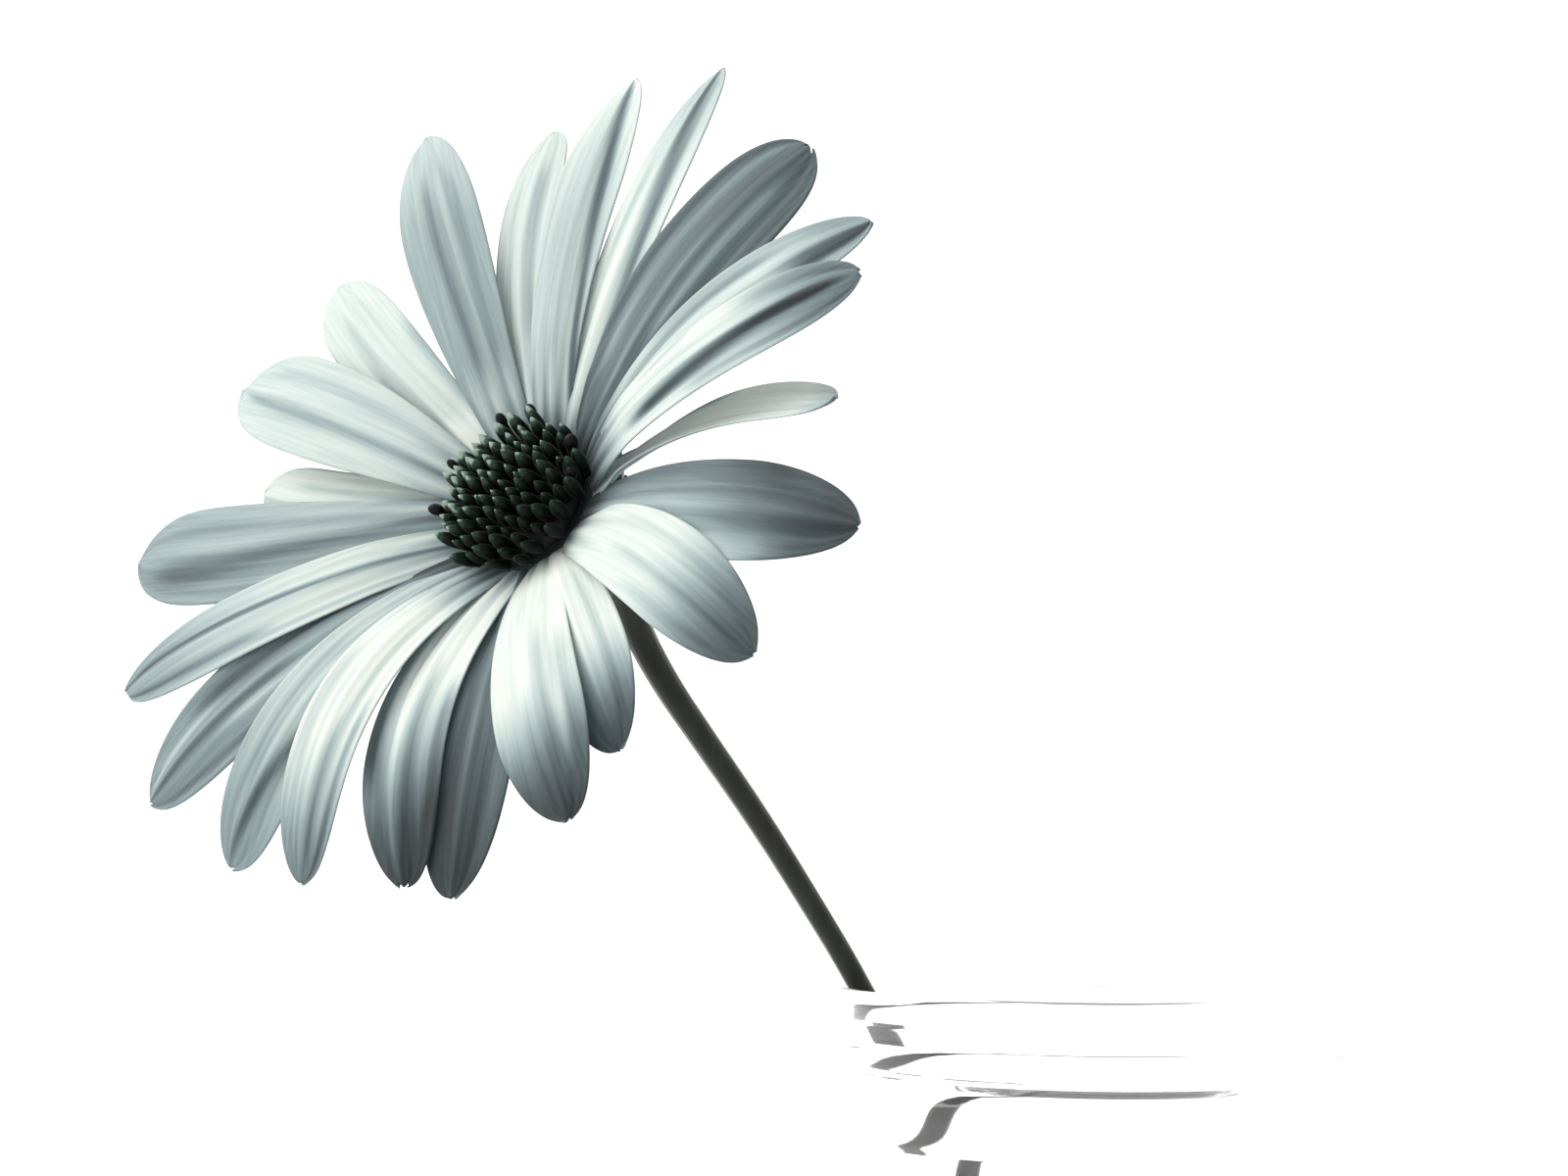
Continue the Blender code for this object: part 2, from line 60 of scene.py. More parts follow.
lens = bpy.data.cameras.new("camera")
lens.lens = 50.29
lens.sensor_width = 36
lens.clip_start = 0.01
camera = bpy.data.objects.new("camera", lens)
camera.location = Vector(CAMERA_AT) * MM
camera.rotation_euler = (math.radians(CAMERA_TIP), 0, 0)
bpy.context.scene.collection.objects.link(camera)
bpy.context.scene.camera = camera
print(f"camera: {lens.lens:.1f} mm lens at {CAMERA_AT} mm, tipped up {CAMERA_TIP - 90:.1f} degrees")

# %% [markdown]
# ## Small tools for materials
# Colours are chosen as the hex codes that a paint program shows. Blender calculates with linear
# light, so one function turns them. Another adds a node, sets its sockets and links it, so that
# each material reads as a list of its steps. Every material starts from the Principled shader,
# which covers glass, skin and paint alike, and from a few of its sockets.

# %% Colour, node and material helpers
def linear(code):
    """The linear colour of a hex code such as #eef2ec."""
    parts = [int(code[i:i + 2], 16) / 255 for i in (1, 3, 5)]
    return [c / 12.92 if c <= 0.04045 else ((c + 0.055) / 1.055) ** 2.4 for c in parts] + [1.0]


def fill(node, values):
    """Sets these sockets of the node."""
    for socket, value in values.items():
        node.inputs[socket].default_value = value


def add(tree, kind, values=None, links=None, stops=(), **settings):
    """A new node. Values fill its sockets, links feed them, stops are the (place, hex) pairs of
    a colour ramp, and settings are the node's own properties."""
    node = tree.nodes.new("ShaderNode" + kind)
    for name, value in settings.items():
        setattr(node, name, value)
    fill(node, values or {})
    for socket, source in (links or {}).items():
        tree.links.new(source, node.inputs[socket])
    if stops:
        points = node.color_ramp.elements
        while len(points) < len(stops):
            points.new(0.5)
        for point, (place, code) in zip(points, stops):
            point.position = place
            point.color = linear(code)
    return node


def new_material(name, values):
    """A material, its node tree and its Principled shader, with these sockets of it filled."""
    made = bpy.data.materials.new(name)
    made.use_nodes = True
    shader = made.node_tree.nodes["Principled BSDF"]
    fill(shader, values)
    print("material:", name)
    return made, made.node_tree, shader


# %% [markdown]
# ## Studio
# The picture is high in key: everything behind the flower is burnt out to white, and the light
# comes from behind and from above left. A gradient over the sky does that softly, without lamps
# that would mirror in the glass as hard spots: it is brightest behind and above the flower and
# dimmer on the camera's side. A wide, soft sun from above left adds the gentle modelling, and the
# pale floor is lit enough to merge with the background.

# %% Sky
BRIGHT_SIDE = Vector((-0.6, 0.5, 0.62)).normalized()
SKY_DIM, SKY_BRIGHT = 0.55, 1.5

bpy.context.scene.view_settings.view_transform = "Standard"
world = bpy.data.worlds.new("studio_sky")
world.use_nodes = True
bpy.context.scene.world = world
sky = world.node_tree
way = add(sky, "TexCoord").outputs["Generated"]
toward = add(sky, "VectorMath", {1: BRIGHT_SIDE}, {0: way}, operation="DOT_PRODUCT")
strength = add(
    sky, "MapRange", {"From Min": -1.0, "From Max": 1.0, "To Min": SKY_DIM, "To Max": SKY_BRIGHT},
    {"Value": toward.outputs["Value"]},
)
background = sky.nodes["Background"]
fill(background, {"Color": linear("#ffffff")})
sky.links.new(strength.outputs["Result"], background.inputs["Strength"])
print(f"sky: strength {SKY_DIM} on the camera's side, {SKY_BRIGHT} on the bright side")

# %% Sun and floor
SUN_SIDE = Vector((-0.65, -0.1, 0.75))
SUN_STRENGTH, SUN_WIDTH = 2.4, 50
FLOOR_SIZE_M, FLOOR_DROP = 30, 0.1

lamp = bpy.data.lights.new("soft_sun", "SUN")
lamp.energy = SUN_STRENGTH
lamp.angle = math.radians(SUN_WIDTH)
sun = bpy.data.objects.new("soft_sun", lamp)
sun.rotation_euler = SUN_SIDE.to_track_quat("Z", "Y").to_euler()
bpy.context.scene.collection.objects.link(sun)

table_paint = new_material(
    "matte_white_table_paint", {"Base Color": linear("#f6f7f6"), "Roughness": 0.7}
)[0]
bm = bmesh.new()
bmesh.ops.create_grid(bm, x_segments=1, y_segments=1, size=FLOOR_SIZE_M)
bmesh.ops.translate(bm, verts=bm.verts, vec=(0, 0, -FLOOR_DROP * MM))
ground = bpy.data.meshes.new("floor")
bm.to_mesh(ground)
bm.free()
ground.materials.append(table_paint)
floor = bpy.data.objects.new("floor", ground)
bpy.context.scene.collection.objects.link(floor)
print(f"sun {SUN_WIDTH} degrees wide, floor {FLOOR_DROP} mm under the vase's foot")

# %% [markdown]
# ## Glass and water
# The vase is soda-lime glass, blown in a mould and fire polished, so its surface is smooth but
# never quite flat: the neck bends what stands behind it into short waves. A faint bump with
# centimetre-wide swells does that. Common glass has an IOR of 1.5 and water one of 1.33, and both
# are taken as colourless, because walls as thin as these show hardly any tint.
#
# A real bottle passes light on however often it is thrown back inside a wall. A renderer gives up
# after a few bounces and leaves a black patch there, so past two of them the glass lets rays go.

# %% Glass and water materials
GLASS_IOR, WATER_IOR = 1.5, 1.33
SWELL_MM, SWELL_DEEP_MM = 9, 0.35
BOUNCES_INSIDE = 2.5
CLEAR = {"Base Color": linear("#ffffff"), "Roughness": 0.0, "Transmission Weight": 1.0}


def let_through(tree, shader):
    """Rays that were already thrown back more than twice pass straight through."""
    depth = add(tree, "LightPath").outputs["Glossy Depth"]
    deep = add(tree, "Math", {1: BOUNCES_INSIDE}, {0: depth}, operation="GREATER_THAN")
    clear = add(tree, "BsdfTransparent")
    mixed = add(
        tree, "MixShader",
        links={"Fac": deep.outputs["Value"], 1: shader.outputs["BSDF"], 2: clear.outputs["BSDF"]},
    )
    tree.links.new(mixed.outputs["Shader"], tree.nodes["Material Output"].inputs["Surface"])


glass, tree, shader = new_material("blown_soda_lime_glass", {**CLEAR, "IOR": GLASS_IOR})
spot = add(tree, "TexCoord").outputs["Object"]
swell = add(tree, "TexNoise", {"Scale": 1 / (SWELL_MM * MM), "Detail": 1.0}, {"Vector": spot})
wavy = add(
    tree, "Bump", {"Strength": 0.6, "Distance": SWELL_DEEP_MM * MM},
    {"Height": swell.outputs["Fac"]},
)
tree.links.new(wavy.outputs["Normal"], shader.inputs["Normal"])
let_through(tree, shader)

still_water, tree, shader = new_material("still_water", {**CLEAR, "IOR": WATER_IOR})
let_through(tree, shader)

# %% [markdown]
# ## Round pieces
# Vase, water, calyx cup and the disc's core are spun from half a section, as a potter or a glass
# blower would turn them. The spin makes every ring of the shape at once and closes on itself. A
# finished piece rides on the one body of the model and replaces its CAD solid.

# %% Helpers for round and finished pieces
def arc(centre, radii, start, end, steps):
    """Points of an ellipse's arc in the (radius, height) plane, angles in degrees."""
    turn = [math.radians(start + (end - start) * i / steps) for i in range(steps + 1)]
    return [(centre[0] + radii[0] * math.cos(a), centre[1] + radii[1] * math.sin(a)) for a in turn]


def lathe(bm, profile, steps):
    """Spins the (radius, height) profile about Z and closes the seam and the poles."""
    points = [bm.verts.new((radius, 0, height)) for radius, height in profile]
    edges = [bm.edges.new(pair) for pair in zip(points, points[1:])]
    bmesh.ops.spin(
        bm, geom=points + edges, cent=(0, 0, 0), axis=(0, 0, 1),
        angle=math.tau, steps=steps, use_merge=True,
    )
    bmesh.ops.remove_doubles(bm, verts=bm.verts, dist=1e-3)
    bmesh.ops.recalc_face_normals(bm, faces=bm.faces)


def finish_piece(name, bm, material, node, sharp=None):
    """An object of this bmesh in mm, smooth but for edges past the sharp angle, in degrees. It
    stands for the CAD node."""
    bmesh.ops.scale(bm, vec=(MM, MM, MM), verts=bm.verts)
    mesh = bpy.data.meshes.new(name)
    bm.to_mesh(mesh)
    bm.free()
    mesh.materials.append(material)
    mesh.shade_smooth()
    if sharp:
        mesh.set_sharp_from_angle(angle=math.radians(sharp))
    piece = bpy.data.objects.new(name, mesh)
    bpy.context.scene.collection.objects.link(piece)
    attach(piece, "root")
    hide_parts(node)
    triangles = sum(len(face.vertices) - 2 for face in mesh.polygons)
    print(f"{name}: {triangles} triangles, {[round(side / MM, 1) for side in piece.dimensions]} mm")


# %% [markdown]
# ## Vase
# A small bottle-like vase: a rolled lip, a short straight neck with one fine ring left by the
# mould, a collar bead, and a plain body with a soft swell that ends in a thick flat foot. The
# photograph stops below the collar, so body and foot are plain. All of it is one section in the
# drawing, from the foot's centre up the outside, over the lip and down the inside, spun once.
# Heights near the top are given as drops below the rim.

# %% Vase sizes and walls
RIM_TOP = 88.0
LIP_CENTRE_R, LIP_HALF_WIDTH, LIP_HALF_HEIGHT, LIP_UNDER_DROP = 19.5, 1.3, 1.05, 2.2
NECK_OUTER_R, NECK_INNER_R, NECK_END_DROP = 20.1, 17.9, 5.5
NECK_FLARE, NECK_FLARE_DROP = 0.1, 0.15
NECK_RING_DROP, NECK_RING_OUT, NECK_RING_HALF_HEIGHT = 4.3, 0.4, 0.9
EDGE_HOLD = 0.25  # an extra point this far from an edge keeps the shading beside it flat
BEAD_OUTER_R, BEAD_DROP, BEAD_HALF_HEIGHT = 22.2, 7.9, 2.2
BEAD_SUNK, BEAD_HOLLOW = 0.2, 0.7
CREASE_OUTER_R, CREASE_DROP = 21.0, 10.3
CREASE = RIM_TOP - CREASE_DROP
CREASE_INSIDE_DROP, BODY_INSIDE_DROP = 0.5, 2
BODY_OUTER_R, WALL = 23.2, 2.4
BODY_SWELL_LOW = 0.8  # below 1 the widest place is below the middle
FLOOR, FLOOR_INNER_R, FLOOR_CORNER_R = 4.0, 18.5, 4.0
FOOT_FLAT_R, FOOT_EDGE_R = 17.5, 3.0


def climb(low, high, steps):
    """Evenly spaced heights above the low one, up to the high one."""
    return [low + (high - low) * i / steps for i in range(1, steps + 1)]


def body_radius(height):
    """Outer radius of the body: a gentle swell between the foot and the collar's crease."""
    along = (height - FOOT_EDGE_R) / (CREASE - FOOT_EDGE_R)
    low = FLOOR_INNER_R + WALL
    straight = low + (CREASE_OUTER_R - low) * along
    swell = BODY_OUTER_R - (low + CREASE_OUTER_R) / 2
    return straight + swell * math.sin(math.pi * along**BODY_SWELL_LOW)


def inner_profile(clear, top):
    """The inner wall from the floor's centre up to this height, drawn in by the clearance."""
    corner = FLOOR_CORNER_R - clear
    middle = (FLOOR_INNER_R - FLOOR_CORNER_R, FLOOR + FLOOR_CORNER_R)
    rise = climb(FLOOR + FLOOR_CORNER_R, top, 30)
    wall = [(body_radius(z) - WALL - clear, z) for z in rise]
    return [(0.0, FLOOR + clear)] + arc(middle, (corner, corner), -90, 0, 10) + wall


print(f"vase: {RIM_TOP} mm tall, {2 * NECK_OUTER_R} mm wide at the neck")

# %% Vase section
def vase_profile():
    """The whole section: up the outside, over the lip and down the inside."""
    neck = RIM_TOP - NECK_END_DROP
    under_lip = RIM_TOP - LIP_UNDER_DROP
    edge = body_radius(FOOT_EDGE_R) - FOOT_FLAT_R
    outer = [(0.0, 0.0), (FOOT_FLAT_R, 0.0)]
    outer += arc((FOOT_FLAT_R, FOOT_EDGE_R), (edge, FOOT_EDGE_R), -80, 0, 8)
    outer += [(body_radius(z), z) for z in climb(FOOT_EDGE_R, CREASE, 34)]

    bead = (CREASE_OUTER_R - BEAD_SUNK, RIM_TOP - BEAD_DROP)
    bead_out = BEAD_OUTER_R - bead[0]
    outer += arc(bead, (bead_out, BEAD_HALF_HEIGHT), -62, 62, 14)
    outer += [(NECK_OUTER_R + NECK_FLARE, neck - NECK_FLARE_DROP), (NECK_OUTER_R, neck)]

    ring = (NECK_OUTER_R, RIM_TOP - NECK_RING_DROP)
    outer += arc(ring, (NECK_RING_OUT, NECK_RING_HALF_HEIGHT), -90, 90, 10)
    ring_top = ring[1] + NECK_RING_HALF_HEIGHT
    outer += [(NECK_OUTER_R, z) for z in (ring_top + EDGE_HOLD, under_lip - EDGE_HOLD, under_lip)]

    lip = (LIP_CENTRE_R, RIM_TOP - LIP_HALF_HEIGHT)
    over = arc(lip, (LIP_HALF_WIDTH, LIP_HALF_HEIGHT), -60, 200, 26)
    hold = (under_lip, under_lip - EDGE_HOLD, neck + EDGE_HOLD, neck)
    inner = [(NECK_INNER_R, z) for z in hold]
    inner += arc(
        (bead[0] - WALL, bead[1]), (bead_out * BEAD_HOLLOW, BEAD_HALF_HEIGHT), 50, -50, 12
    )
    inner += [(CREASE_OUTER_R - WALL, CREASE - CREASE_INSIDE_DROP)]
    return outer + over + inner + inner_profile(0.0, CREASE - BODY_INSIDE_DROP)[::-1]


bm = bmesh.new()
lathe(bm, vase_profile(), steps=160)
finish_piece("glass_vase", bm, glass, "vase", sharp=35)

# %% [markdown]
# The water takes the shape of the inner wall up to its level, where it climbs the glass a little,
# as water does. It reaches a twentieth of a millimetre into the glass, so that no film of air
# shows between the two.

# %% Water
WATER_LEVEL, INTO_GLASS = 54.0, 0.05
MENISCUS = ((0.0, 1.1), (0.35, 0.62), (0.8, 0.3), (1.5, 0.1), (2.6, 0.0))  # in from the wall, up

wet = inner_profile(-INTO_GLASS, WATER_LEVEL)
wall_r = wet[-1][0]
wet += [(wall_r - inward, WATER_LEVEL + up) for inward, up in MENISCUS] + [(0.0, WATER_LEVEL)]
bm = bmesh.new()
lathe(bm, wet, steps=120)
finish_piece("water_body", bm, still_water, "water", sharp=50)

# %% [markdown]
# ## Stem
# The stalk is green, ribbed along its length and covered with fine short hairs, and it leans on
# the lip. It is grown by extruding one ribbed ring of edges along its route, a little at a time,
# with each new ring turned to the way the stalk runs. It thickens slowly towards the head.

# %% Stem route
STEM_ROUTE = (
    (15.6, 0.0, 4.6), (12.8, 0.0, 15.0), (8.2, 0.0, 30.0), (0.9, 0.0, 50.0), (-8.0, 0.0, 70.0),
    (-17.5, 0.0, 88.0), (-21.5, -0.4, 94.7), (-25.2, -0.9, 100.5), (-29.2, -1.4, 106.3),
    (-31.7, -1.8, 110.0), (-33.7, -2.3, 113.6), (-35.0, -3.6, 116.8), (-36.4, -6.2, 118.8),
    (-37.65, -8.1, 119.7),
)
STEM_STEPS = 9


def smooth_route(points, steps):
    """Points of the smooth curve through the route's own points, so many to a stretch."""
    found = []
    for i in range(len(points) - 1):
        before, after = points[max(i - 1, 0)], points[min(i + 2, len(points) - 1)]
        start, end = points[i], points[i + 1]
        reach = (end - start).length
        out = (end - before).normalized() * reach
        into = (after - start).normalized() * reach
        for step in range(steps):
            t = step / steps
            found.append(
                start * (2 * t**3 - 3 * t**2 + 1) + out * (t**3 - 2 * t**2 + t)
                + end * (3 * t**2 - 2 * t**3) + into * (t**3 - t**2)
            )
    return found + [points[-1]]


route = smooth_route([Vector(point) for point in STEM_ROUTE], STEM_STEPS)
long = sum((after - before).length for before, after in zip(route, route[1:]))
print(f"stem route: {len(route)} rings over {long:.0f} mm")

# %% [markdown]
# A green stalk is a soft, slightly waxy skin over wet tissue, with darker furrows between its ribs.
# Its hairs are too fine to model at this size. What they do to the eye is a pale rim where the
# surface turns away, and the sheen of the Principled shader does just that.

# %% Stem material
STREAK_MM, BLOTCH_MM, STREAK_STRETCH = 0.5, 6, 0.12

stalk_skin, tree, shader = new_material("hairy_green_stalk", {
    "Roughness": 0.55, "Specular IOR Level": 0.3,
    "Sheen Weight": 1.0, "Sheen Roughness": 0.42, "Sheen Tint": linear("#e4e6dc"),
})
spot = add(tree, "TexCoord").outputs["Object"]
stretched = add(tree, "Mapping", {"Scale": (1, 1, STREAK_STRETCH)}, {"Vector": spot})
streaks = add(
    tree, "TexNoise", {"Scale": 1 / (STREAK_MM * MM), "Detail": 3.0},
    {"Vector": stretched.outputs["Vector"]},
)
blotches = add(tree, "TexNoise", {"Scale": 1 / (BLOTCH_MM * MM), "Detail": 2.0}, {"Vector": spot})
both = add(
    tree, "Mix", {"Factor": 0.4}, {"A": streaks.outputs["Fac"], "B": blotches.outputs["Fac"]}
)
colour = add(
    tree, "ValToRGB", links={"Fac": both.outputs["Result"]},
    stops=((0.3, "#050704"), (0.5, "#0b0e09"), (0.7, "#1a1f16")),
)
tree.links.new(colour.outputs["Color"], shader.inputs["Base Color"])
rough = add(
    tree, "Bump", {"Strength": 0.5, "Distance": 0.05 * MM}, {"Height": streaks.outputs["Fac"]}
)
tree.links.new(rough.outputs["Normal"], shader.inputs["Normal"])

# %% Stem
STEM_R_LOW, STEM_R_HIGH = 0.72, 1.35
STEM_SIDES, RIB_DEPTH = 24, 0.05


def raise_ring(bm, edges):
    """Extrudes a ring of edges, and gives the new ring's points and edges."""
    grown = bmesh.ops.extrude_edge_only(bm, edges=edges)["geom"]
    points = [item for item in grown if isinstance(item, bmesh.types.BMVert)]
    return points, [item for item in grown if isinstance(item, bmesh.types.BMEdge)]


def grow_stem(bm, route):
    """A ribbed tube along the route: one ring of edges, extruded and carried on step by step."""
    ring = bmesh.ops.create_circle(bm, segments=STEM_SIDES, radius=1)["verts"]
    for i, vert in enumerate(ring):
        vert.co *= 1 + RIB_DEPTH * math.cos(math.pi * i)
    edges = list({edge for vert in ring for edge in vert.link_edges})
    place = Matrix.Identity(4)
    for i, point in enumerate(route):
        share = i / (len(route) - 1)
        radius = STEM_R_LOW + (STEM_R_HIGH - STEM_R_LOW) * share**2
        way = route[min(i + 1, len(route) - 1)] - route[max(i - 1, 0)]
        turn = way.to_track_quat("Z", "X").to_matrix().to_4x4()
        following = Matrix.Translation(point) @ turn @ Matrix.Scale(radius, 4)
        if i:
            ring, edges = raise_ring(bm, edges)
        bmesh.ops.transform(bm, matrix=following @ place.inverted(), verts=ring)
        place = following
    bmesh.ops.holes_fill(bm, edges=bm.edges)
    bmesh.ops.recalc_face_normals(bm, faces=bm.faces)


bm = bmesh.new()
grow_stem(bm, route)
finish_piece("stalk", bm, stalk_skin, "stem")

# %% [markdown]
# ## The head's own frame
# Everything on the flower head is drawn as if it lay flat on a table: X to the right, Y up its
# face and Z along its axis. One matrix then tips it up and turns it to where the stem carries it.

# %% Head frame
HEAD = Vector((-40.25, -12.0, 121.5))
FACES_LEFT, FACES_UP = 33.5, 20.6
HEAD_PLACE = (
    Matrix.Translation(HEAD)
    @ Matrix.Rotation(math.radians(-FACES_LEFT), 4, "Z")
    @ Matrix.Rotation(math.radians(90 - FACES_UP), 4, "X")
)
RING_INNER_R, RING_OUTER_R, RING_THICK = 3.2, 5.7, 1.0
UP = Vector((0, 0, 1))


def put_on_head(bm):
    """Takes a shape from the head's flat frame to its place on the stem."""
    bmesh.ops.transform(bm, matrix=HEAD_PLACE, verts=bm.verts)


print("the head faces", [round(part, 2) for part in HEAD_PLACE.to_3x3() @ UP])

# %% [markdown]
# ## Leaves
# Petals and bracts are blades: a grid is bent by a formula, a copy of it is set behind it for the
# underside, and the two rims are bridged. That gives a closed leaf that is thin at its margins.
# Each leaf is made in a small mesh of its own, because operators are quick there.

# %% Helpers for leaves
def join_in(whole, part):
    """Moves the part's mesh into the whole one."""
    carrier = bpy.data.meshes.new("carrier")
    part.to_mesh(carrier)
    part.free()
    whole.from_mesh(carrier)
    bpy.data.meshes.remove(carrier)


def blade(bm, place, thickness, rows, columns, mark=None):
    """Draws a closed leaf in an empty bm. place(along, across) is its face, thickness its depth."""
    grid = bmesh.ops.create_grid(bm, x_segments=columns, y_segments=rows, size=0.5)["verts"]
    faces = list({face for vert in grid for face in vert.link_faces})
    spots = [(vert.co.y + 0.5, 2 * vert.co.x) for vert in grid]
    for vert, spot in zip(grid, spots):
        vert.co = place(*spot)
    bm.normal_update()
    copy = bmesh.ops.duplicate(bm, geom=grid + faces)
    under = [copy["vert_map"][vert] for vert in grid]
    for vert, behind, spot in zip(grid, under, spots):
        behind.co = vert.co - vert.normal * thickness(*spot)
        if mark:
            mark(vert, *spot, 0.0)
            mark(behind, *spot, 1.0)
    lower = [item for item in copy["geom"] if isinstance(item, bmesh.types.BMFace)]
    bmesh.ops.reverse_faces(bm, faces=lower)
    rim = {edge for vert in grid + under for edge in vert.link_edges if edge.is_boundary}
    bmesh.ops.bridge_loops(bm, edges=list(rim))
    bmesh.ops.recalc_face_normals(bm, faces=bm.faces)


# %% [markdown]
# ## Calyx
# Behind the petals sits the green cup that the bud once burst from, with a ring of pointed bracts
# that lie out under the petals. The cup is spun, and each bract is a short blade. Thirteen of them
# stand round the cup, as on many flowers of this family.

# %% Calyx rules
CUP_TOP, CUP_TOP_R, CUP_DEEP, CUP_STEM_R = -0.3, 5.4, 4.6, 1.3
CUP_STEPS, CUP_ROUND = 16, 0.75
CUP_NECK_LONG, CUP_NECK_TAPER = 1.6, 0.8
COLUMN_CLEAR = 0.3
BRACTS, BRACT_TURN = 13, 7
BRACT_PATH = ((2.2, -4.6), (5.5, -3.5), (7.6, 0.5))
BRACT_WIDTH, BRACT_LOW_SHARE, BRACT_BELLY, BRACT_POINTED = 2.5, 0.55, 1.6, 0.8
BRACT_HOLLOW, BRACT_RIB = 0.3, 0.06
BRACT_THICK, BRACT_EDGE_THINNING, BRACT_TIP_THINNING = 0.5, 0.7, 0.4


def cup_profile():
    """A column up through the petals' ring, the rim, the cup's round side and a short neck."""
    column = RING_INNER_R - COLUMN_CLEAR
    side = [(0.0, RING_THICK), (column, RING_THICK), (column, CUP_TOP), (CUP_TOP_R, CUP_TOP)]
    for along in climb(0, 1, CUP_STEPS):
        swell = math.cos(math.pi / 2 * along**CUP_ROUND)
        side.append((CUP_STEM_R + (CUP_TOP_R - CUP_STEM_R) * swell, CUP_TOP - CUP_DEEP * along))
    neck_end = CUP_TOP - CUP_DEEP - CUP_NECK_LONG
    return side + [(CUP_STEM_R * CUP_NECK_TAPER, neck_end), (0.0, neck_end)]


def bract_place(along, across):
    """Along: on a bent path up the cup's side and out. Across: widest low down, then pointed."""
    start, middle, end = (Vector(point) for point in BRACT_PATH)
    out, up = start * (1 - along) ** 2 + middle * 2 * along * (1 - along) + end * along**2
    half = BRACT_WIDTH / 2 * (BRACT_LOW_SHARE + BRACT_BELLY * along * (1 - along))
    half *= 1 - BRACT_POINTED * along**3
    hollow = half * (BRACT_HOLLOW * across**2 + BRACT_RIB * math.cos(2 * math.pi * across))
    return Vector((half * across, out, up + hollow))


def bract_thickness(along, across):
    return BRACT_THICK * (1 - BRACT_EDGE_THINNING * across**2) * (1 - BRACT_TIP_THINNING * along)


tip = bract_place(1, 0)
print("a bract's tip, from the head's middle:", [round(part, 1) for part in tip], "mm")

# %% Calyx
bm = bmesh.new()
lathe(bm, cup_profile(), steps=64)
for number in range(BRACTS):
    bract = bmesh.new()
    blade(bract, bract_place, bract_thickness, rows=16, columns=8)
    turn = Matrix.Rotation(math.tau * number / BRACTS + math.radians(BRACT_TURN), 3, "Z")
    bmesh.ops.rotate(bract, verts=bract.verts, cent=(0, 0, 0), matrix=turn)
    join_in(bm, bract)
put_on_head(bm)
finish_piece("calyx", bm, stalk_skin, "stem", sharp=50)

# %% [markdown]
# ## Petals
# Twenty-two ray petals grow from one ring. Each is a narrow claw that widens to a long blade with
# two grooves and a blunt tip with three small teeth. A petal lifts off the ring steeply and bends
# back towards its tip, so its centre line is an arc whose slope changes evenly. One row of the
# table describes one petal, clockwise from the top: azimuth, length, width, lift at the root, lift
# at the tip, roll, twist, the layer that it lies in, how far its middle bows to the clockwise side,
# and how full its tip is, from about 1.5 for a pointed one to 4 for a blunt one.

# %% Petal table
PETALS = (
    (4.9, 30.0, 6.0, 32, -16, 0, 0, 1.0, 0.3, 1.6),
    (18.1, 31.0, 5.2, 32, -16, 0, 10, 0.0, 1.3, 2.2),
    (41.4, 28.2, 7.5, 38, -16, -13, 0, -1.2, 0.4, 3.6),
    (59.1, 28.6, 5.6, 40, -20, 4, 0, -0.2, 0.4, 3.0),
    (67.1, 26.8, 5.4, 38, -16, 0, 0, 1.3, 0.4, 2.8),
    (80.3, 21.7, 5.5, 17, -3, 35, -3, 0.0, -2.0, 3.8),
    (100.9, 27.0, 7.1, 32, -16, 0, 0, -0.3, 0.1, 1.8),
    (120.0, 24.7, 6.5, 32, -16, 0, 0, 1.2, -1.2, 1.8),
    (142.6, 21.0, 5.9, 32, -16, 0, 0, -0.5, -0.9, 2.0),
    (152.3, 24.1, 7.0, 32, -16, 0, 0, 0.0, 0.5, 1.8),
    (171.1, 26.4, 6.7, 32, -16, 0, 0, -1.9, -0.9, 2.6),
    (178.1, 25.6, 6.5, 32, -16, 4, 0, -0.2, 2.4, 1.9),
    (194.7, 27.5, 5.4, 42, -24, 6, 0, -0.2, 2.0, 3.0),
    (207.2, 29.0, 6.3, 40, -22, 6, 0, -0.6, 1.3, 3.4),
    (226.4, 31.2, 7.4, 38, -20, 4, 0, -1.2, -0.6, 2.6),
    (242.9, 30.4, 5.9, 34, -16, 0, 0, 1.0, -0.7, 1.7),
    (264.2, 31.8, 8.1, 32, -16, 0, 0, -0.3, -2.4, 3.1),
    (274.9, 21.8, 6.5, 32, -16, 0, 0, -1.2, -1.5, 2.5),
    (290.8, 28.0, 7.8, 32, -16, 0, 0, 0.9, 0.1, 2.6),
    (309.9, 27.5, 6.3, 32, -16, 0, 0, -1.0, -0.2, 2.4),
    (331.4, 33.0, 7.0, 32, -16, 0, 0, 0.8, 0.8, 1.8),
    (351.1, 28.0, 5.0, 32, -16, 0, 0, -1.0, -0.6, 2.2),
)

lengths = [petal[1] for petal in PETALS]
print(f"{len(PETALS)} petals, from {min(lengths)} to {max(lengths)} mm long")
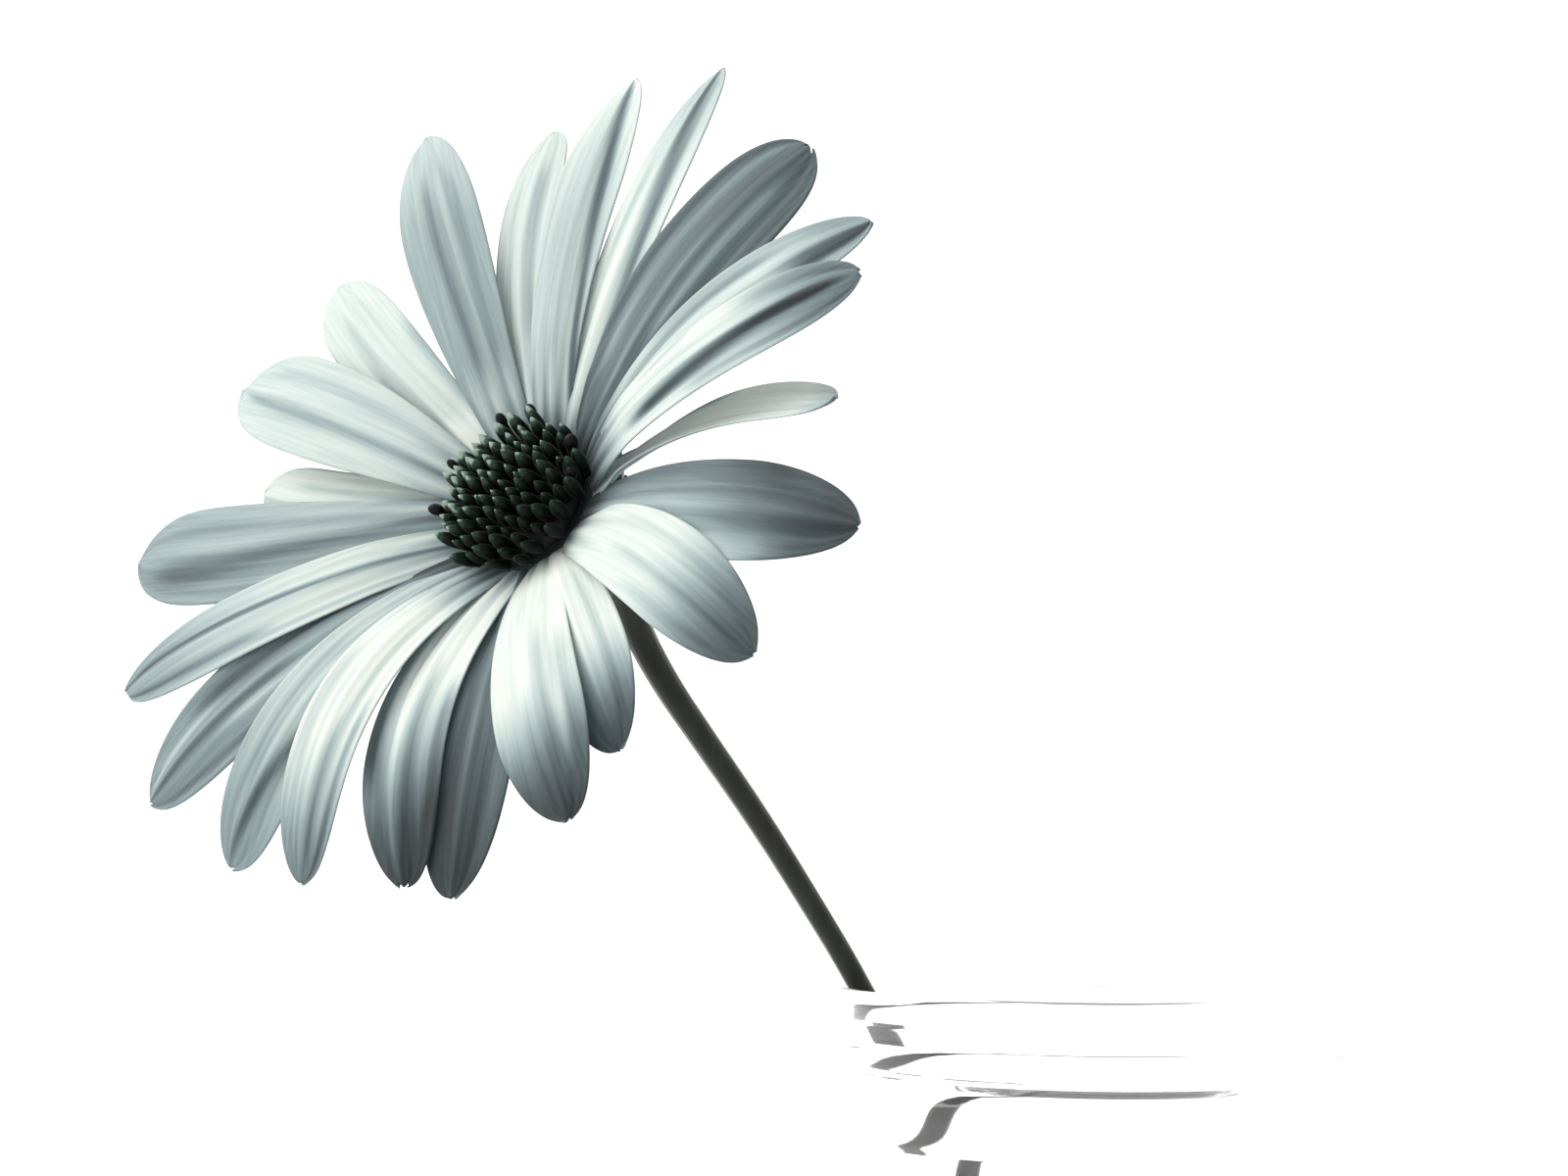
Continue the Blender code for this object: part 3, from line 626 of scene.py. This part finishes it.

# %% [markdown]
# The petals are white above and slate beneath. Their tones are partly that slate and its streaks
# and partly painted shade and painted highlight: a petal is painted darker where it turns from the
# light, in its shaded folds, along its grooves, at its root and towards its tip, and lighter along
# its lit ribs. No two have the same markings. A second table gives each petal how deep its tip is
# notched, in mm, and its tones, from 0 for white to 1 for the darkest slate: at the root, at the
# tip, and where between them the change starts. Then come its long streaks: place across the blade
# at the root and at the tip (-1 is the edge met first going clockwise, 1 the other edge), half
# width, strength (less than 0 for a pale rib, a painted highlight), and the stretch of the blade
# that it runs over.

# %% Petal markings and painted shade
MARKINGS_AND_PAINTED_SHADE = (
    (0.0, 0.18, 0.05, 0.5, (
        (1.0, 0.15, 0.16, 0.55, 0.1, 1.0), (0.0, 0.0, 0.4, 0.1, 0.2, 1.0),
        (-0.4, -0.4, 0.1, 0.08, 0.1, 0.9),
    )),
    (0.0, 0.04, 0.26, 0.5, (
        (0.85, 0.0, 0.26, 0.5, 0.2, 1.05), (-0.7, -0.5, 0.14, 0.14, 0.1, 0.7),
        (0.9, 0.9, 0.1, 0.14, 0.2, 0.5),
    )),
    (0.25, 0.6, 0.76, 0.2, (
        (-0.62, -0.62, 0.1, -0.3, 0.25, 1.0), (0.2, 0.25, 0.12, -0.26, 0.4, 0.88),
        (-0.1, -0.15, 0.1, -0.12, 0.2, 0.7), (0.95, 0.95, 0.2, -0.2, 0.1, 0.7),
    )),
    (0.25, 0.14, 0.45, 0.7, (
        (0.2, 0.3, 0.3, 0.55, 0.78, 1.05), (-0.5, -0.65, 0.18, 0.24, 0.1, 0.75),
        (-0.9, -0.8, 0.25, 0.14, 0.4, 0.95), (0.0, 0.0, 1.5, 0.4, 0.0, 0.18),
    )),
    (0.1, 0.06, 0.62, 0.6, (
        (0.6, -0.05, 0.2, 0.85, 0.3, 0.93), (0.75, 0.7, 0.2, 0.3, 0.5, 1.0),
        (-0.7, -0.7, 0.15, 0.2, 0.7, 1.0), (-0.45, -0.4, 0.1, 0.1, 0.1, 0.9),
        (0.0, 0.0, 1.5, 0.35, 0.0, 0.18),
    )),
    (0.0, 0.0, 0.3, 0.85, (
        (-0.95, -0.95, 0.25, 0.5, 0.0, 0.55),
    )),
    (0.0, 0.36, 0.95, 0.45, (
        (-0.9, -0.9, 0.4, 0.3, 0.0, 0.8), (0.9, 0.9, 0.5, -0.26, 0.0, 0.8),
        (-0.3, -0.35, 0.12, 0.14, 0.2, 1.0), (0.2, 0.25, 0.12, 0.14, 0.25, 1.0),
        (0.0, 0.0, 1.5, 0.2, 0.0, 0.15),
    )),
    (0.0, 0.06, 0.9, 0.5, (
        (0.15, 0.15, 0.12, 0.14, 0.4, 0.95), (-0.6, -0.5, 0.12, 0.08, 0.3, 0.9),
        (0.7, 0.7, 0.12, 0.12, 0.5, 0.9),
    )),
    (0.0, 0.03, 0.98, 0.55, (
        (-0.4, -0.5, 0.16, 0.14, 0.3, 0.9), (0.2, 0.2, 0.12, 0.1, 0.4, 0.8),
        (0.7, 0.7, 0.12, 0.1, 0.3, 0.8), (0.0, 0.0, 1.5, -0.35, 0.0, 0.2),
    )),
    (0.0, 0.03, 1.05, 0.53, (
        (-0.45, -0.45, 0.1, -0.22, 0.62, 0.85), (-0.7, -0.7, 0.3, 0.18, 0.45, 0.85),
        (-0.2, -0.2, 0.12, 0.16, 0.4, 0.85), (0.2, 0.2, 0.1, 0.1, 0.6, 0.95),
        (0.0, 0.0, 1.5, -0.2, 0.0, 0.2),
    )),
    (0.1, 0.6, 1.05, 0.3, (
        (0.0, 0.0, 0.08, -0.14, 0.5, 0.95), (-0.8, -0.7, 0.3, -0.16, 0.5, 0.95),
        (0.35, 0.3, 0.12, 0.14, 0.2, 1.0),
    )),
    (0.25, 0.0, 1.0, 0.4, (
        (1.0, 0.75, 0.22, 0.5, 0.0, 0.72), (-0.25, -0.2, 0.12, 0.3, 0.4, 1.0),
        (-0.9, -0.8, 0.25, 0.4, 0.45, 0.95), (0.15, 0.25, 0.1, -0.2, 0.4, 0.95),
    )),
    (0.2, 0.0, 0.62, 0.6, (
        (-0.8, -0.7, 0.15, 0.35, 0.55, 1.0), (-0.2, -0.25, 0.1, 0.35, 0.6, 0.95),
        (-0.4, -0.35, 0.08, 0.14, 0.3, 0.8), (0.2, 0.3, 0.1, 0.1, 0.4, 1.0),
        (0.8, 0.7, 0.12, 0.2, 0.4, 0.7), (0.0, 0.0, 1.5, 0.3, 0.0, 0.18),
    )),
    (0.2, 0.18, 0.5, 0.5, (
        (-1.4, 0.2, 0.16, 0.4, 0.5, 1.0), (-0.4, -0.5, 0.12, 0.16, 0.2, 0.65),
        (0.25, 0.3, 0.12, 0.14, 0.1, 0.8), (0.5, 0.5, 0.1, 0.14, 0.4, 0.8),
    )),
    (0.15, 0.38, 0.5, 0.3, (
        (0.25, 0.7, 0.26, 0.34, 0.0, 0.75), (-0.2, 0.0, 0.1, 0.25, 0.5, 1.0),
        (-0.75, -0.65, 0.12, 0.25, 0.6, 1.0), (-0.4, -0.2, 0.14, -0.22, 0.2, 0.7),
        (0.3, 0.45, 0.14, -0.24, 0.68, 1.0), (0.0, 0.0, 1.5, 0.2, 0.0, 0.18),
    )),
    (0.1, 0.1, 0.42, 0.35, (
        (-0.1, 0.5, 0.13, 0.52, 0.0, 0.97), (-0.6, -0.55, 0.12, 0.36, 0.55, 1.0),
        (-0.75, -0.75, 0.08, 0.16, 0.1, 0.6),
    )),
    (0.0, 0.27, 0.4, 0.3, (
        (0.25, -0.5, 0.22, 0.3, 0.0, 0.9), (-0.7, -0.7, 0.3, 0.12, 0.5, 1.0),
        (0.5, 0.5, 0.15, 0.1, 0.2, 0.9),
    )),
    (0.0, 0.04, 0.0, 0.3, (
        (0.45, 0.5, 0.15, 0.14, 0.0, 0.8), (-0.6, -0.6, 0.5, 0.3, 0.0, 1.0),
    )),
    (0.0, 0.14, 0.16, 0.4, (
        (-0.25, -0.2, 0.12, 0.26, 0.0, 0.95), (0.5, 0.5, 0.14, 0.1, 0.1, 0.9),
    )),
    (0.0, 0.1, 0.1, 0.4, (
        (-0.2, -0.25, 0.12, 0.14, 0.0, 0.8), (-0.6, -0.5, 0.12, 0.12, 0.1, 0.5),
        (1.0, 0.9, 0.2, 0.2, 0.0, 0.6), (0.0, 0.0, 1.5, -0.3, 0.0, 0.2),
    )),
    (0.0, 0.38, 0.2, 0.55, (
        (-0.1, -0.15, 0.16, 0.24, 0.2, 0.8), (0.55, 0.5, 0.12, 0.12, 0.2, 0.8),
        (0.2, 0.2, 0.1, -0.06, 0.2, 0.8), (0.0, 0.0, 1.5, -0.2, 0.0, 0.2),
    )),
    (0.0, 0.1, 0.12, 0.6, (
        (0.3, 0.2, 0.2, 0.22, 0.3, 0.85), (-0.6, -0.6, 0.1, 0.08, 0.2, 0.8),
    )),
)
TONE_END, STREAK_FADE = 1.05, 0.15
# painted shade near the root: darker furrows between the ribs and a darker band at the root itself
FURROWS, ROOT_FURROW_PAINTED_SHADE, ROOT_FURROW_PAINTED_SHADE_LONG = 3, 0.35, 0.32
ROOT_PAINTED_SHADE, ROOT_PAINTED_SHADE_LONG = 0.25, 0.12


def ease(value):
    """0 below 0, 1 above 1, and a smooth step between."""
    value = min(1.0, max(0.0, value))
    return value * value * (3 - 2 * value)


def petal_tone_with_painted_shade(marks, along, across):
    """How dark the petal is here: its tones and streaks, painted shade and highlight among them,
    and painted shade in the furrows and at the root.
    """
    root, tip, change, streaks = marks
    tone = root + (tip - root) * ease((along - change) / (TONE_END - change))
    for place, place_tip, half, strength, start, end in streaks:
        place += (place_tip - place) * along
        fade = ease((along - start) / STREAK_FADE + 0.5) * ease((end - along) / STREAK_FADE + 0.5)
        tone += strength * fade * math.exp(-((across - place) / half) ** 2)
    # painted shade: the furrows and the root are darkened where the disc and the petals beside them
    # shade them
    furrow_shade = 0.5 - 0.5 * math.cos(FURROWS * math.pi * across)
    tone += ROOT_FURROW_PAINTED_SHADE * furrow_shade * ease(1 - along / ROOT_FURROW_PAINTED_SHADE_LONG)
    return tone + ROOT_PAINTED_SHADE * ease(1 - along / ROOT_PAINTED_SHADE_LONG)


print(sum(len(marks[-1]) for marks in MARKINGS_AND_PAINTED_SHADE), "streaks")

# %% Petal shape
ROOT_R, ROOT_UP, LAYER_STEP = 4.6, 0.75, 0.45
CLAW_WIDTH, WIDEST_AT, WIDENING = 3.1, 0.66, 1.15
OPENING, ROLLING = 4, 5  # the claw has opened a quarter of the way along, and rolled a fifth
PETAL_ARCH, PETAL_GROOVE, PETAL_RIB = 0.12, 0.1, 0.018
PETAL_THICK, MARGIN_THINNING, TIP_THINNING = 0.4, 0.62, 0.35


def compass(azimuth):
    """The head's outward direction at this azimuth in degrees, and the one clockwise of it."""
    turn = math.radians(azimuth)
    return Vector((math.sin(turn), math.cos(turn), 0)), Vector((math.cos(turn), -math.sin(turn), 0))


def petal_half_width(along, width, fullness):
    """The claw widens on a sine to the widest place. Past it the outline rounds off to the tip."""
    grow = math.sin(math.pi / 2 * min(along / WIDEST_AT, 1)) ** WIDENING
    past = max(0.0, along - WIDEST_AT) / (1 - WIDEST_AT)
    return (CLAW_WIDTH + (width - CLAW_WIDTH) * grow) * math.sqrt(max(0.0, 1 - past**fullness)) / 2


def petal_point(petal, along, across):
    """A point of the petal's face in the head's frame: along 0 to 1, across -1 to 1."""
    azimuth, length, width, lift_root, lift_tip, roll, twist, layer, bow, fullness = petal
    outward, sideways = compass(azimuth)
    spread = min(1.0, OPENING * along)
    start = math.radians(lift_root)
    bend = math.radians(lift_tip - lift_root)
    lift = start + bend * along
    far = ROOT_R + length * (math.sin(lift) - math.sin(start)) / bend
    high = ROOT_UP + LAYER_STEP * layer * spread
    high += length * (math.cos(start) - math.cos(lift)) / bend
    middle = outward * far + UP * high + sideways * bow * math.sin(math.pi * along)

    face = UP * math.cos(lift) - outward * math.sin(lift)
    turn = math.radians(roll * min(1.0, ROLLING * along) + twist * along)
    side = sideways * math.cos(turn) + face * math.sin(turn)
    face = face * math.cos(turn) - sideways * math.sin(turn)

    half = petal_half_width(along, width, fullness)
    groove = PETAL_GROOVE * spread * (math.cos(2 * math.pi * across) - 1) / 2
    rib = PETAL_RIB * spread * math.cos(6 * math.pi * across)
    relief = half * (groove + rib - PETAL_ARCH * across**2)
    return middle + side * half * across + face * relief


def petal_thickness(along, across):
    return PETAL_THICK * (1 - MARGIN_THINNING * across**4) * (1 - TIP_THINNING * along)


tip = petal_point(PETALS[0], 1, 0)
print("the top petal's tip, from the head's middle:", [round(part, 1) for part in tip], "mm")

# %% [markdown]
# The rows of a blade crowd towards the tip, where its outline turns fastest. The teeth are left
# between two small notches, cut by drawing the last rows back. A long, slow wave of a few tenths
# of a millimetre, different for each petal, takes away the look of a stamped part.

# %% Build the petals
PETAL_LAYERS = ("tone", "along", "across", "underside", "petal")
PETAL_ROWS, PETAL_COLUMNS = 60, 28
ROW_CROWDING, TIP_END = 1.35, 0.9992
NOTCH_AT, NOTCH_HALF_WIDTH, NOTCH_FROM, NOTCH_LONG = 0.4, 0.16, 0.86, 0.14
SWAY, RIPPLE_LOW, RIPPLE_HIGH, RIPPLES = 0.25, 0.1, 0.22, 2.2
PETAL_SEED = 40
RING_PAINTED_SHADE_TONE = 1.0


def petal_blade(number, petal, marks):
    """One closed petal, with the values that its material reads stored at each point."""
    part = bmesh.new()
    layers = [part.verts.layers.float.new(name) for name in PETAL_LAYERS]
    draw = random.Random(PETAL_SEED + number)
    sway = draw.uniform(-SWAY, SWAY)
    ripple = draw.uniform(RIPPLE_LOW, RIPPLE_HIGH)
    phase = draw.uniform(0, math.tau)
    azimuth, length, width = petal[:3]
    sideways = compass(azimuth)[1]

    def reach(row, across):
        """How far along the blade this spot of the grid lies, with the notches drawn back."""
        teeth = math.exp(-((abs(across) - NOTCH_AT) / NOTCH_HALF_WIDTH) ** 2)
        teeth *= ease((row - NOTCH_FROM) / NOTCH_LONG)
        return TIP_END * (1 - (1 - row) ** ROW_CROWDING) - marks[0] / length * teeth

    def place(row, across):
        along = reach(row, across)
        wave = ripple * across * math.sin(RIPPLES * math.pi * along + phase) * along
        point = petal_point(petal, along, across)
        return point + UP * wave + sideways * sway * math.sin(math.pi * along)

    def mark(vert, row, across, under):
        along = reach(row, across)
        values = (
            petal_tone_with_painted_shade(marks[1:], along, across), along * length,
            across * petal_half_width(along, width, petal[-1]), under, number,
        )
        for layer, value in zip(layers, values):
            vert[layer] = value

    blade(part, place, petal_thickness, PETAL_ROWS, PETAL_COLUMNS, mark)
    return part


bm = bmesh.new()
for name in PETAL_LAYERS:
    bm.verts.layers.float.new(name)
ring = [
    (RING_INNER_R, 0.0), (RING_OUTER_R, 0.0),
    (RING_OUTER_R, RING_THICK), (RING_INNER_R, RING_THICK),
]
lathe(bm, ring + ring[:1], steps=64)
# the ring that the petals grow from is painted the darkest slate: painted shade where the disc and
# petals shade it
tone_of = bm.verts.layers.float["tone"]
for vert in bm.verts:
    vert[tone_of] = RING_PAINTED_SHADE_TONE
for number, (petal, marks) in enumerate(zip(PETALS, MARKINGS_AND_PAINTED_SHADE)):
    join_in(bm, petal_blade(number, petal, marks))
put_on_head(bm)
print("petals:", len(bm.verts), "points")

# %% [markdown]
# A petal is a thin, wet sheet with a velvety skin: light from behind glows through it. So the
# Principled shader is mixed with a Translucent one of the same colour. The tone that each point
# carries, painted shade and highlight included, picks the colour from white over blue-grey to
# slate. Fine veins run along the blade, about 0.3 mm apart, as a noise stretched along the petal's
# own two measures. The underside has its own slate tone.

# %% Petal material
VEIN_MM, VEIN_LONG_MM, PETALS_APART = 0.3, 9, 7
VEIN_SHADE, UNDERSIDE_TONE = 0.045, 0.62
GLOW = 0.4
SLATES = (
    (0.0, "#edf2ea"), (0.2, "#c3d1cd"), (0.4, "#97a8a9"),
    (0.6, "#6c7b7f"), (0.8, "#485558"), (1.0, "#2a3334"),
)

petal_skin, tree, shader = new_material("ray_petal_skin", {
    "Roughness": 0.55, "Sheen Weight": 0.15, "Specular IOR Level": 0.3,
})
tone, along, across, under, petal = (
    add(tree, "Attribute", attribute_name=name).outputs["Fac"] for name in PETAL_LAYERS
)
spot = add(tree, "CombineXYZ", links={"X": across, "Y": along, "Z": petal})
measured = add(
    tree, "Mapping", {"Scale": (1 / VEIN_MM, 1 / VEIN_LONG_MM, PETALS_APART)},
    {"Vector": spot.outputs["Vector"]},
)
veins = add(
    tree, "TexNoise", {"Scale": 1.0, "Detail": 2.0}, {"Vector": measured.outputs["Vector"]}
)
vein_shade = add(
    tree, "MapRange",
    {"From Min": 0.3, "From Max": 0.7, "To Min": -VEIN_SHADE, "To Max": VEIN_SHADE},
    {"Value": veins.outputs["Fac"]},
)
upper = add(tree, "Math", links={0: tone, 1: vein_shade.outputs["Result"]}, operation="ADD")
lower = add(
    tree, "Math", {1: UNDERSIDE_TONE}, {0: vein_shade.outputs["Result"]}, operation="ADD"
)
whole = add(
    tree, "Mix", links={"Factor": under, "A": upper.outputs["Value"], "B": lower.outputs["Value"]}
)
colour = add(tree, "ValToRGB", links={"Fac": whole.outputs["Result"]}, stops=SLATES)
tree.links.new(colour.outputs["Color"], shader.inputs["Base Color"])
furrows = add(
    tree, "Bump", {"Strength": 0.35, "Distance": 0.06 * MM}, {"Height": veins.outputs["Fac"]}
)
tree.links.new(furrows.outputs["Normal"], shader.inputs["Normal"])
glow = add(
    tree, "BsdfTranslucent",
    links={"Color": colour.outputs["Color"], "Normal": furrows.outputs["Normal"]},
)
skin = add(
    tree, "MixShader", {"Fac": GLOW}, {1: shader.outputs["BSDF"], 2: glow.outputs["BSDF"]}
)
tree.links.new(skin.outputs["Shader"], tree.nodes["Material Output"].inputs["Surface"])
finish_piece("ray_petals", bm, petal_skin, "petals")

# %% [markdown]
# ## Disc
# The dark eye is a low dome of closed florets. They stand in the spirals that plants make by
# turning each new floret on by the golden angle, 137.5 degrees, so one rule places all of them,
# and the outer ones lean out. Each is a five-lobed bud that ends in a small pale point. A few at
# the edge have opened and show as round dark heads on short stalks.

# %% Core and bud
DISC_R, DISC_BASE, DISC_EDGE, DISC_MIDDLE = 5.8, RING_THICK + 0.3, 0.8, 2.2
CORE_IN, CORE_EDGE_R = 0.5, 0.7
FLORET_R, FLORET_TALL = 0.45, 2.5
BUD_LOBES, LOBE_DEPTH = 5, 0.1
BUD_STEPS = (  # height and girth, as shares of the bud's own
    (0.0, 0.8), (0.25, 0.94), (0.45, 1.0), (0.62, 0.93),
    (0.76, 0.74), (0.87, 0.48), (0.95, 0.24), (1.0, 0.06),
)


def core_height(radius):
    """Height of the core's dome above the disc's base."""
    return DISC_EDGE + (DISC_MIDDLE - DISC_EDGE) * (1 - (radius / DISC_R) ** 2)


def core_profile():
    """The core's flat base, its rounded lower edge and its dome."""
    rim = DISC_R - CORE_IN
    flat = rim - CORE_EDGE_R
    side = [(0.0, 0.0), (flat, 0.0)]
    side += arc((flat, CORE_EDGE_R), (CORE_EDGE_R, CORE_EDGE_R), -90, 0, 6)[1:]
    side += [(rim * share, core_height(rim * share)) for share in (0.92, 0.8, 0.6, 0.4, 0.2, 0.0)]
    return [(r, DISC_BASE + h) for r, h in side]


def bud(place, lean, swing, size, painted_light):
    """A pointed five-lobed bud: a ring of edges that swells, then closes to a tip."""
    part = bmesh.new()
    height_of = part.verts.layers.float.new("bud_height_and_painted_light")
    ring = bmesh.ops.create_circle(part, segments=2 * BUD_LOBES, radius=FLORET_R)["verts"]
    edges = part.edges[:]
    height, girth = 0.0, 1.0
    for next_height, next_girth in BUD_STEPS:
        if next_height:
            ring, edges = raise_ring(part, edges)
        bmesh.ops.translate(part, verts=ring, vec=(0, 0, (next_height - height) * FLORET_TALL))
        bmesh.ops.scale(part, verts=ring, vec=(next_girth / girth, next_girth / girth, 1))
        for vert in ring:
            # the colour height, with the painted light of the bud's side added
            vert[height_of] = next_height + painted_light
        height, girth = next_height, next_girth
    bmesh.ops.holes_fill(part, edges=part.edges)
    for vert in part.verts:
        lobe = 1 + LOBE_DEPTH * math.cos(BUD_LOBES * math.atan2(vert.co.y, vert.co.x))
        vert.co = (vert.co.x * lobe, vert.co.y * lobe, vert.co.z)
    bmesh.ops.recalc_face_normals(part, faces=part.faces)
    turn = UP.rotation_difference(lean).to_matrix().to_4x4()
    spin = Matrix.Rotation(swing, 4, "Z")
    grown = Matrix.Scale(size, 4)
    bmesh.ops.transform(
        part, matrix=Matrix.Translation(place) @ turn @ spin @ grown, verts=part.verts
    )
    return part


print(f"core: {core_height(0):.1f} mm high in the middle, {core_height(DISC_R):.1f} at the edge")

# %% Closed florets
FLORETS, GOLDEN_ANGLE, FLORET_SEED = 100, 137.508, 7
FLORET_SUNK, FLORET_LEAN, FLORET_TILT = 0.5, 0.45, 0.12
FLORET_SMALL, FLORET_LARGE = 0.82, 1.2
# painted light: buds towards the upper left, where the light from above left falls, get paler
# colours
LIT_SIDE, PAINTED_LIGHT_SHIFT = Vector((-0.75, 0.66, 0)), 0.16

bm = bmesh.new()
bm.verts.layers.float.new("bud_height_and_painted_light")
lathe(bm, core_profile(), steps=48)
draw = random.Random(FLORET_SEED)
for number in range(FLORETS):
    radius = (DISC_R - FLORET_R) * math.sqrt((number + 0.5) / FLORETS)
    angle = math.radians(GOLDEN_ANGLE * number)
    outward = Vector((math.cos(angle), math.sin(angle), 0))
    lean = UP + outward * FLORET_LEAN * (radius / DISC_R) ** 2
    lean += Vector([draw.uniform(-FLORET_TILT, FLORET_TILT) for _ in range(2)] + [0])
    swing = draw.uniform(0, math.tau)
    size = draw.uniform(FLORET_SMALL, FLORET_LARGE)
    place = outward * radius + UP * (DISC_BASE + core_height(radius) - FLORET_SUNK)
    # painted light: the shift towards paler colours on the lit side of the disc
    painted_light = PAINTED_LIGHT_SHIFT * LIT_SIDE.dot(outward) * radius / DISC_R
    join_in(bm, bud(place, lean.normalized(), swing, size, painted_light))
print(FLORETS, "closed florets")

# %% Opened florets
OPENED = (  # azimuth, how far out the head is, its radius
    (259, 6.2, 0.42), (293, 6.2, 0.36), (338, 6.1, 0.38),
    (3, 6.0, 0.42), (58, 5.7, 0.5), (84, 5.6, 0.4),
)
OPENED_ROOT_R, OPENED_ROOT_UP, OPENED_HEAD_UP, OPENED_LONG = 4.7, 0.6, 2.5, 1.5
STALK_R, STALK_TAPER = 0.3, 0.8

for azimuth, out, head_r in OPENED:
    outward = compass(azimuth)[0]
    foot = outward * OPENED_ROOT_R + UP * (DISC_BASE + OPENED_ROOT_UP)
    head = outward * out + UP * (DISC_BASE + OPENED_HEAD_UP)
    way = head - foot
    turn = UP.rotation_difference(way.normalized()).to_matrix().to_4x4()
    bmesh.ops.create_cone(
        bm, cap_ends=True, segments=10, radius1=STALK_R, radius2=STALK_R * STALK_TAPER,
        depth=way.length, matrix=Matrix.Translation(foot + way / 2) @ turn,
    )
    longer = Matrix.Diagonal((1, 1, OPENED_LONG, 1))
    bmesh.ops.create_icosphere(
        bm, subdivisions=3, radius=head_r, matrix=Matrix.Translation(head) @ turn @ longer,
    )
put_on_head(bm)
print(len(OPENED), "opened florets")

# %% [markdown]
# The florets are nearly black, with a green cast, and slightly waxy. Their pointed ends are paler,
# partly their own colour and partly a painted highlight, and the buds on the upper left of the disc
# get paler colours still, painted light where the light from above left falls on them. Their edges
# catch that light as thin rims. The height along each bud, with the painted light added, drives the
# colour, and a sheen with a little gloss gives the rims.

# %% Disc material
GRAIN_MM, GRAIN_SHADE = 0.35, 0.06

floret_skin, tree, shader = new_material("waxy_dark_floret", {
    "Roughness": 0.5, "Specular IOR Level": 0.15,
    "Sheen Weight": 0.12, "Sheen Roughness": 0.3, "Sheen Tint": linear("#c8d6cd"),
})
# the attribute carries each bud's height plus the painted light of its side
height = add(tree, "Attribute", attribute_name="bud_height_and_painted_light").outputs["Fac"]
spot = add(tree, "TexCoord").outputs["Object"]
grain = add(tree, "TexNoise", {"Scale": 1 / (GRAIN_MM * MM), "Detail": 3.0}, {"Vector": spot})
speckle = add(
    tree, "MapRange",
    {"From Min": 0.3, "From Max": 0.7, "To Min": -GRAIN_SHADE, "To Max": GRAIN_SHADE},
    {"Value": grain.outputs["Fac"]},
)
shade = add(tree, "Math", links={0: height, 1: speckle.outputs["Result"]}, operation="ADD")
# the pale stops at the top are partly the points' own colour and partly a painted highlight
colour = add(
    tree, "ValToRGB", links={"Fac": shade.outputs["Value"]},
    stops=(
        (0.0, "#010201"), (0.5, "#040805"), (0.78, "#0f1912"), (0.92, "#2f4237"), (1.0, "#93a698"),
    ),
)
tree.links.new(colour.outputs["Color"], shader.inputs["Base Color"])
pits = add(
    tree, "Bump", {"Strength": 0.4, "Distance": 0.04 * MM}, {"Height": grain.outputs["Fac"]}
)
tree.links.new(pits.outputs["Normal"], shader.inputs["Normal"])
finish_piece("floret_disc", bm, floret_skin, "disc", sharp=60)
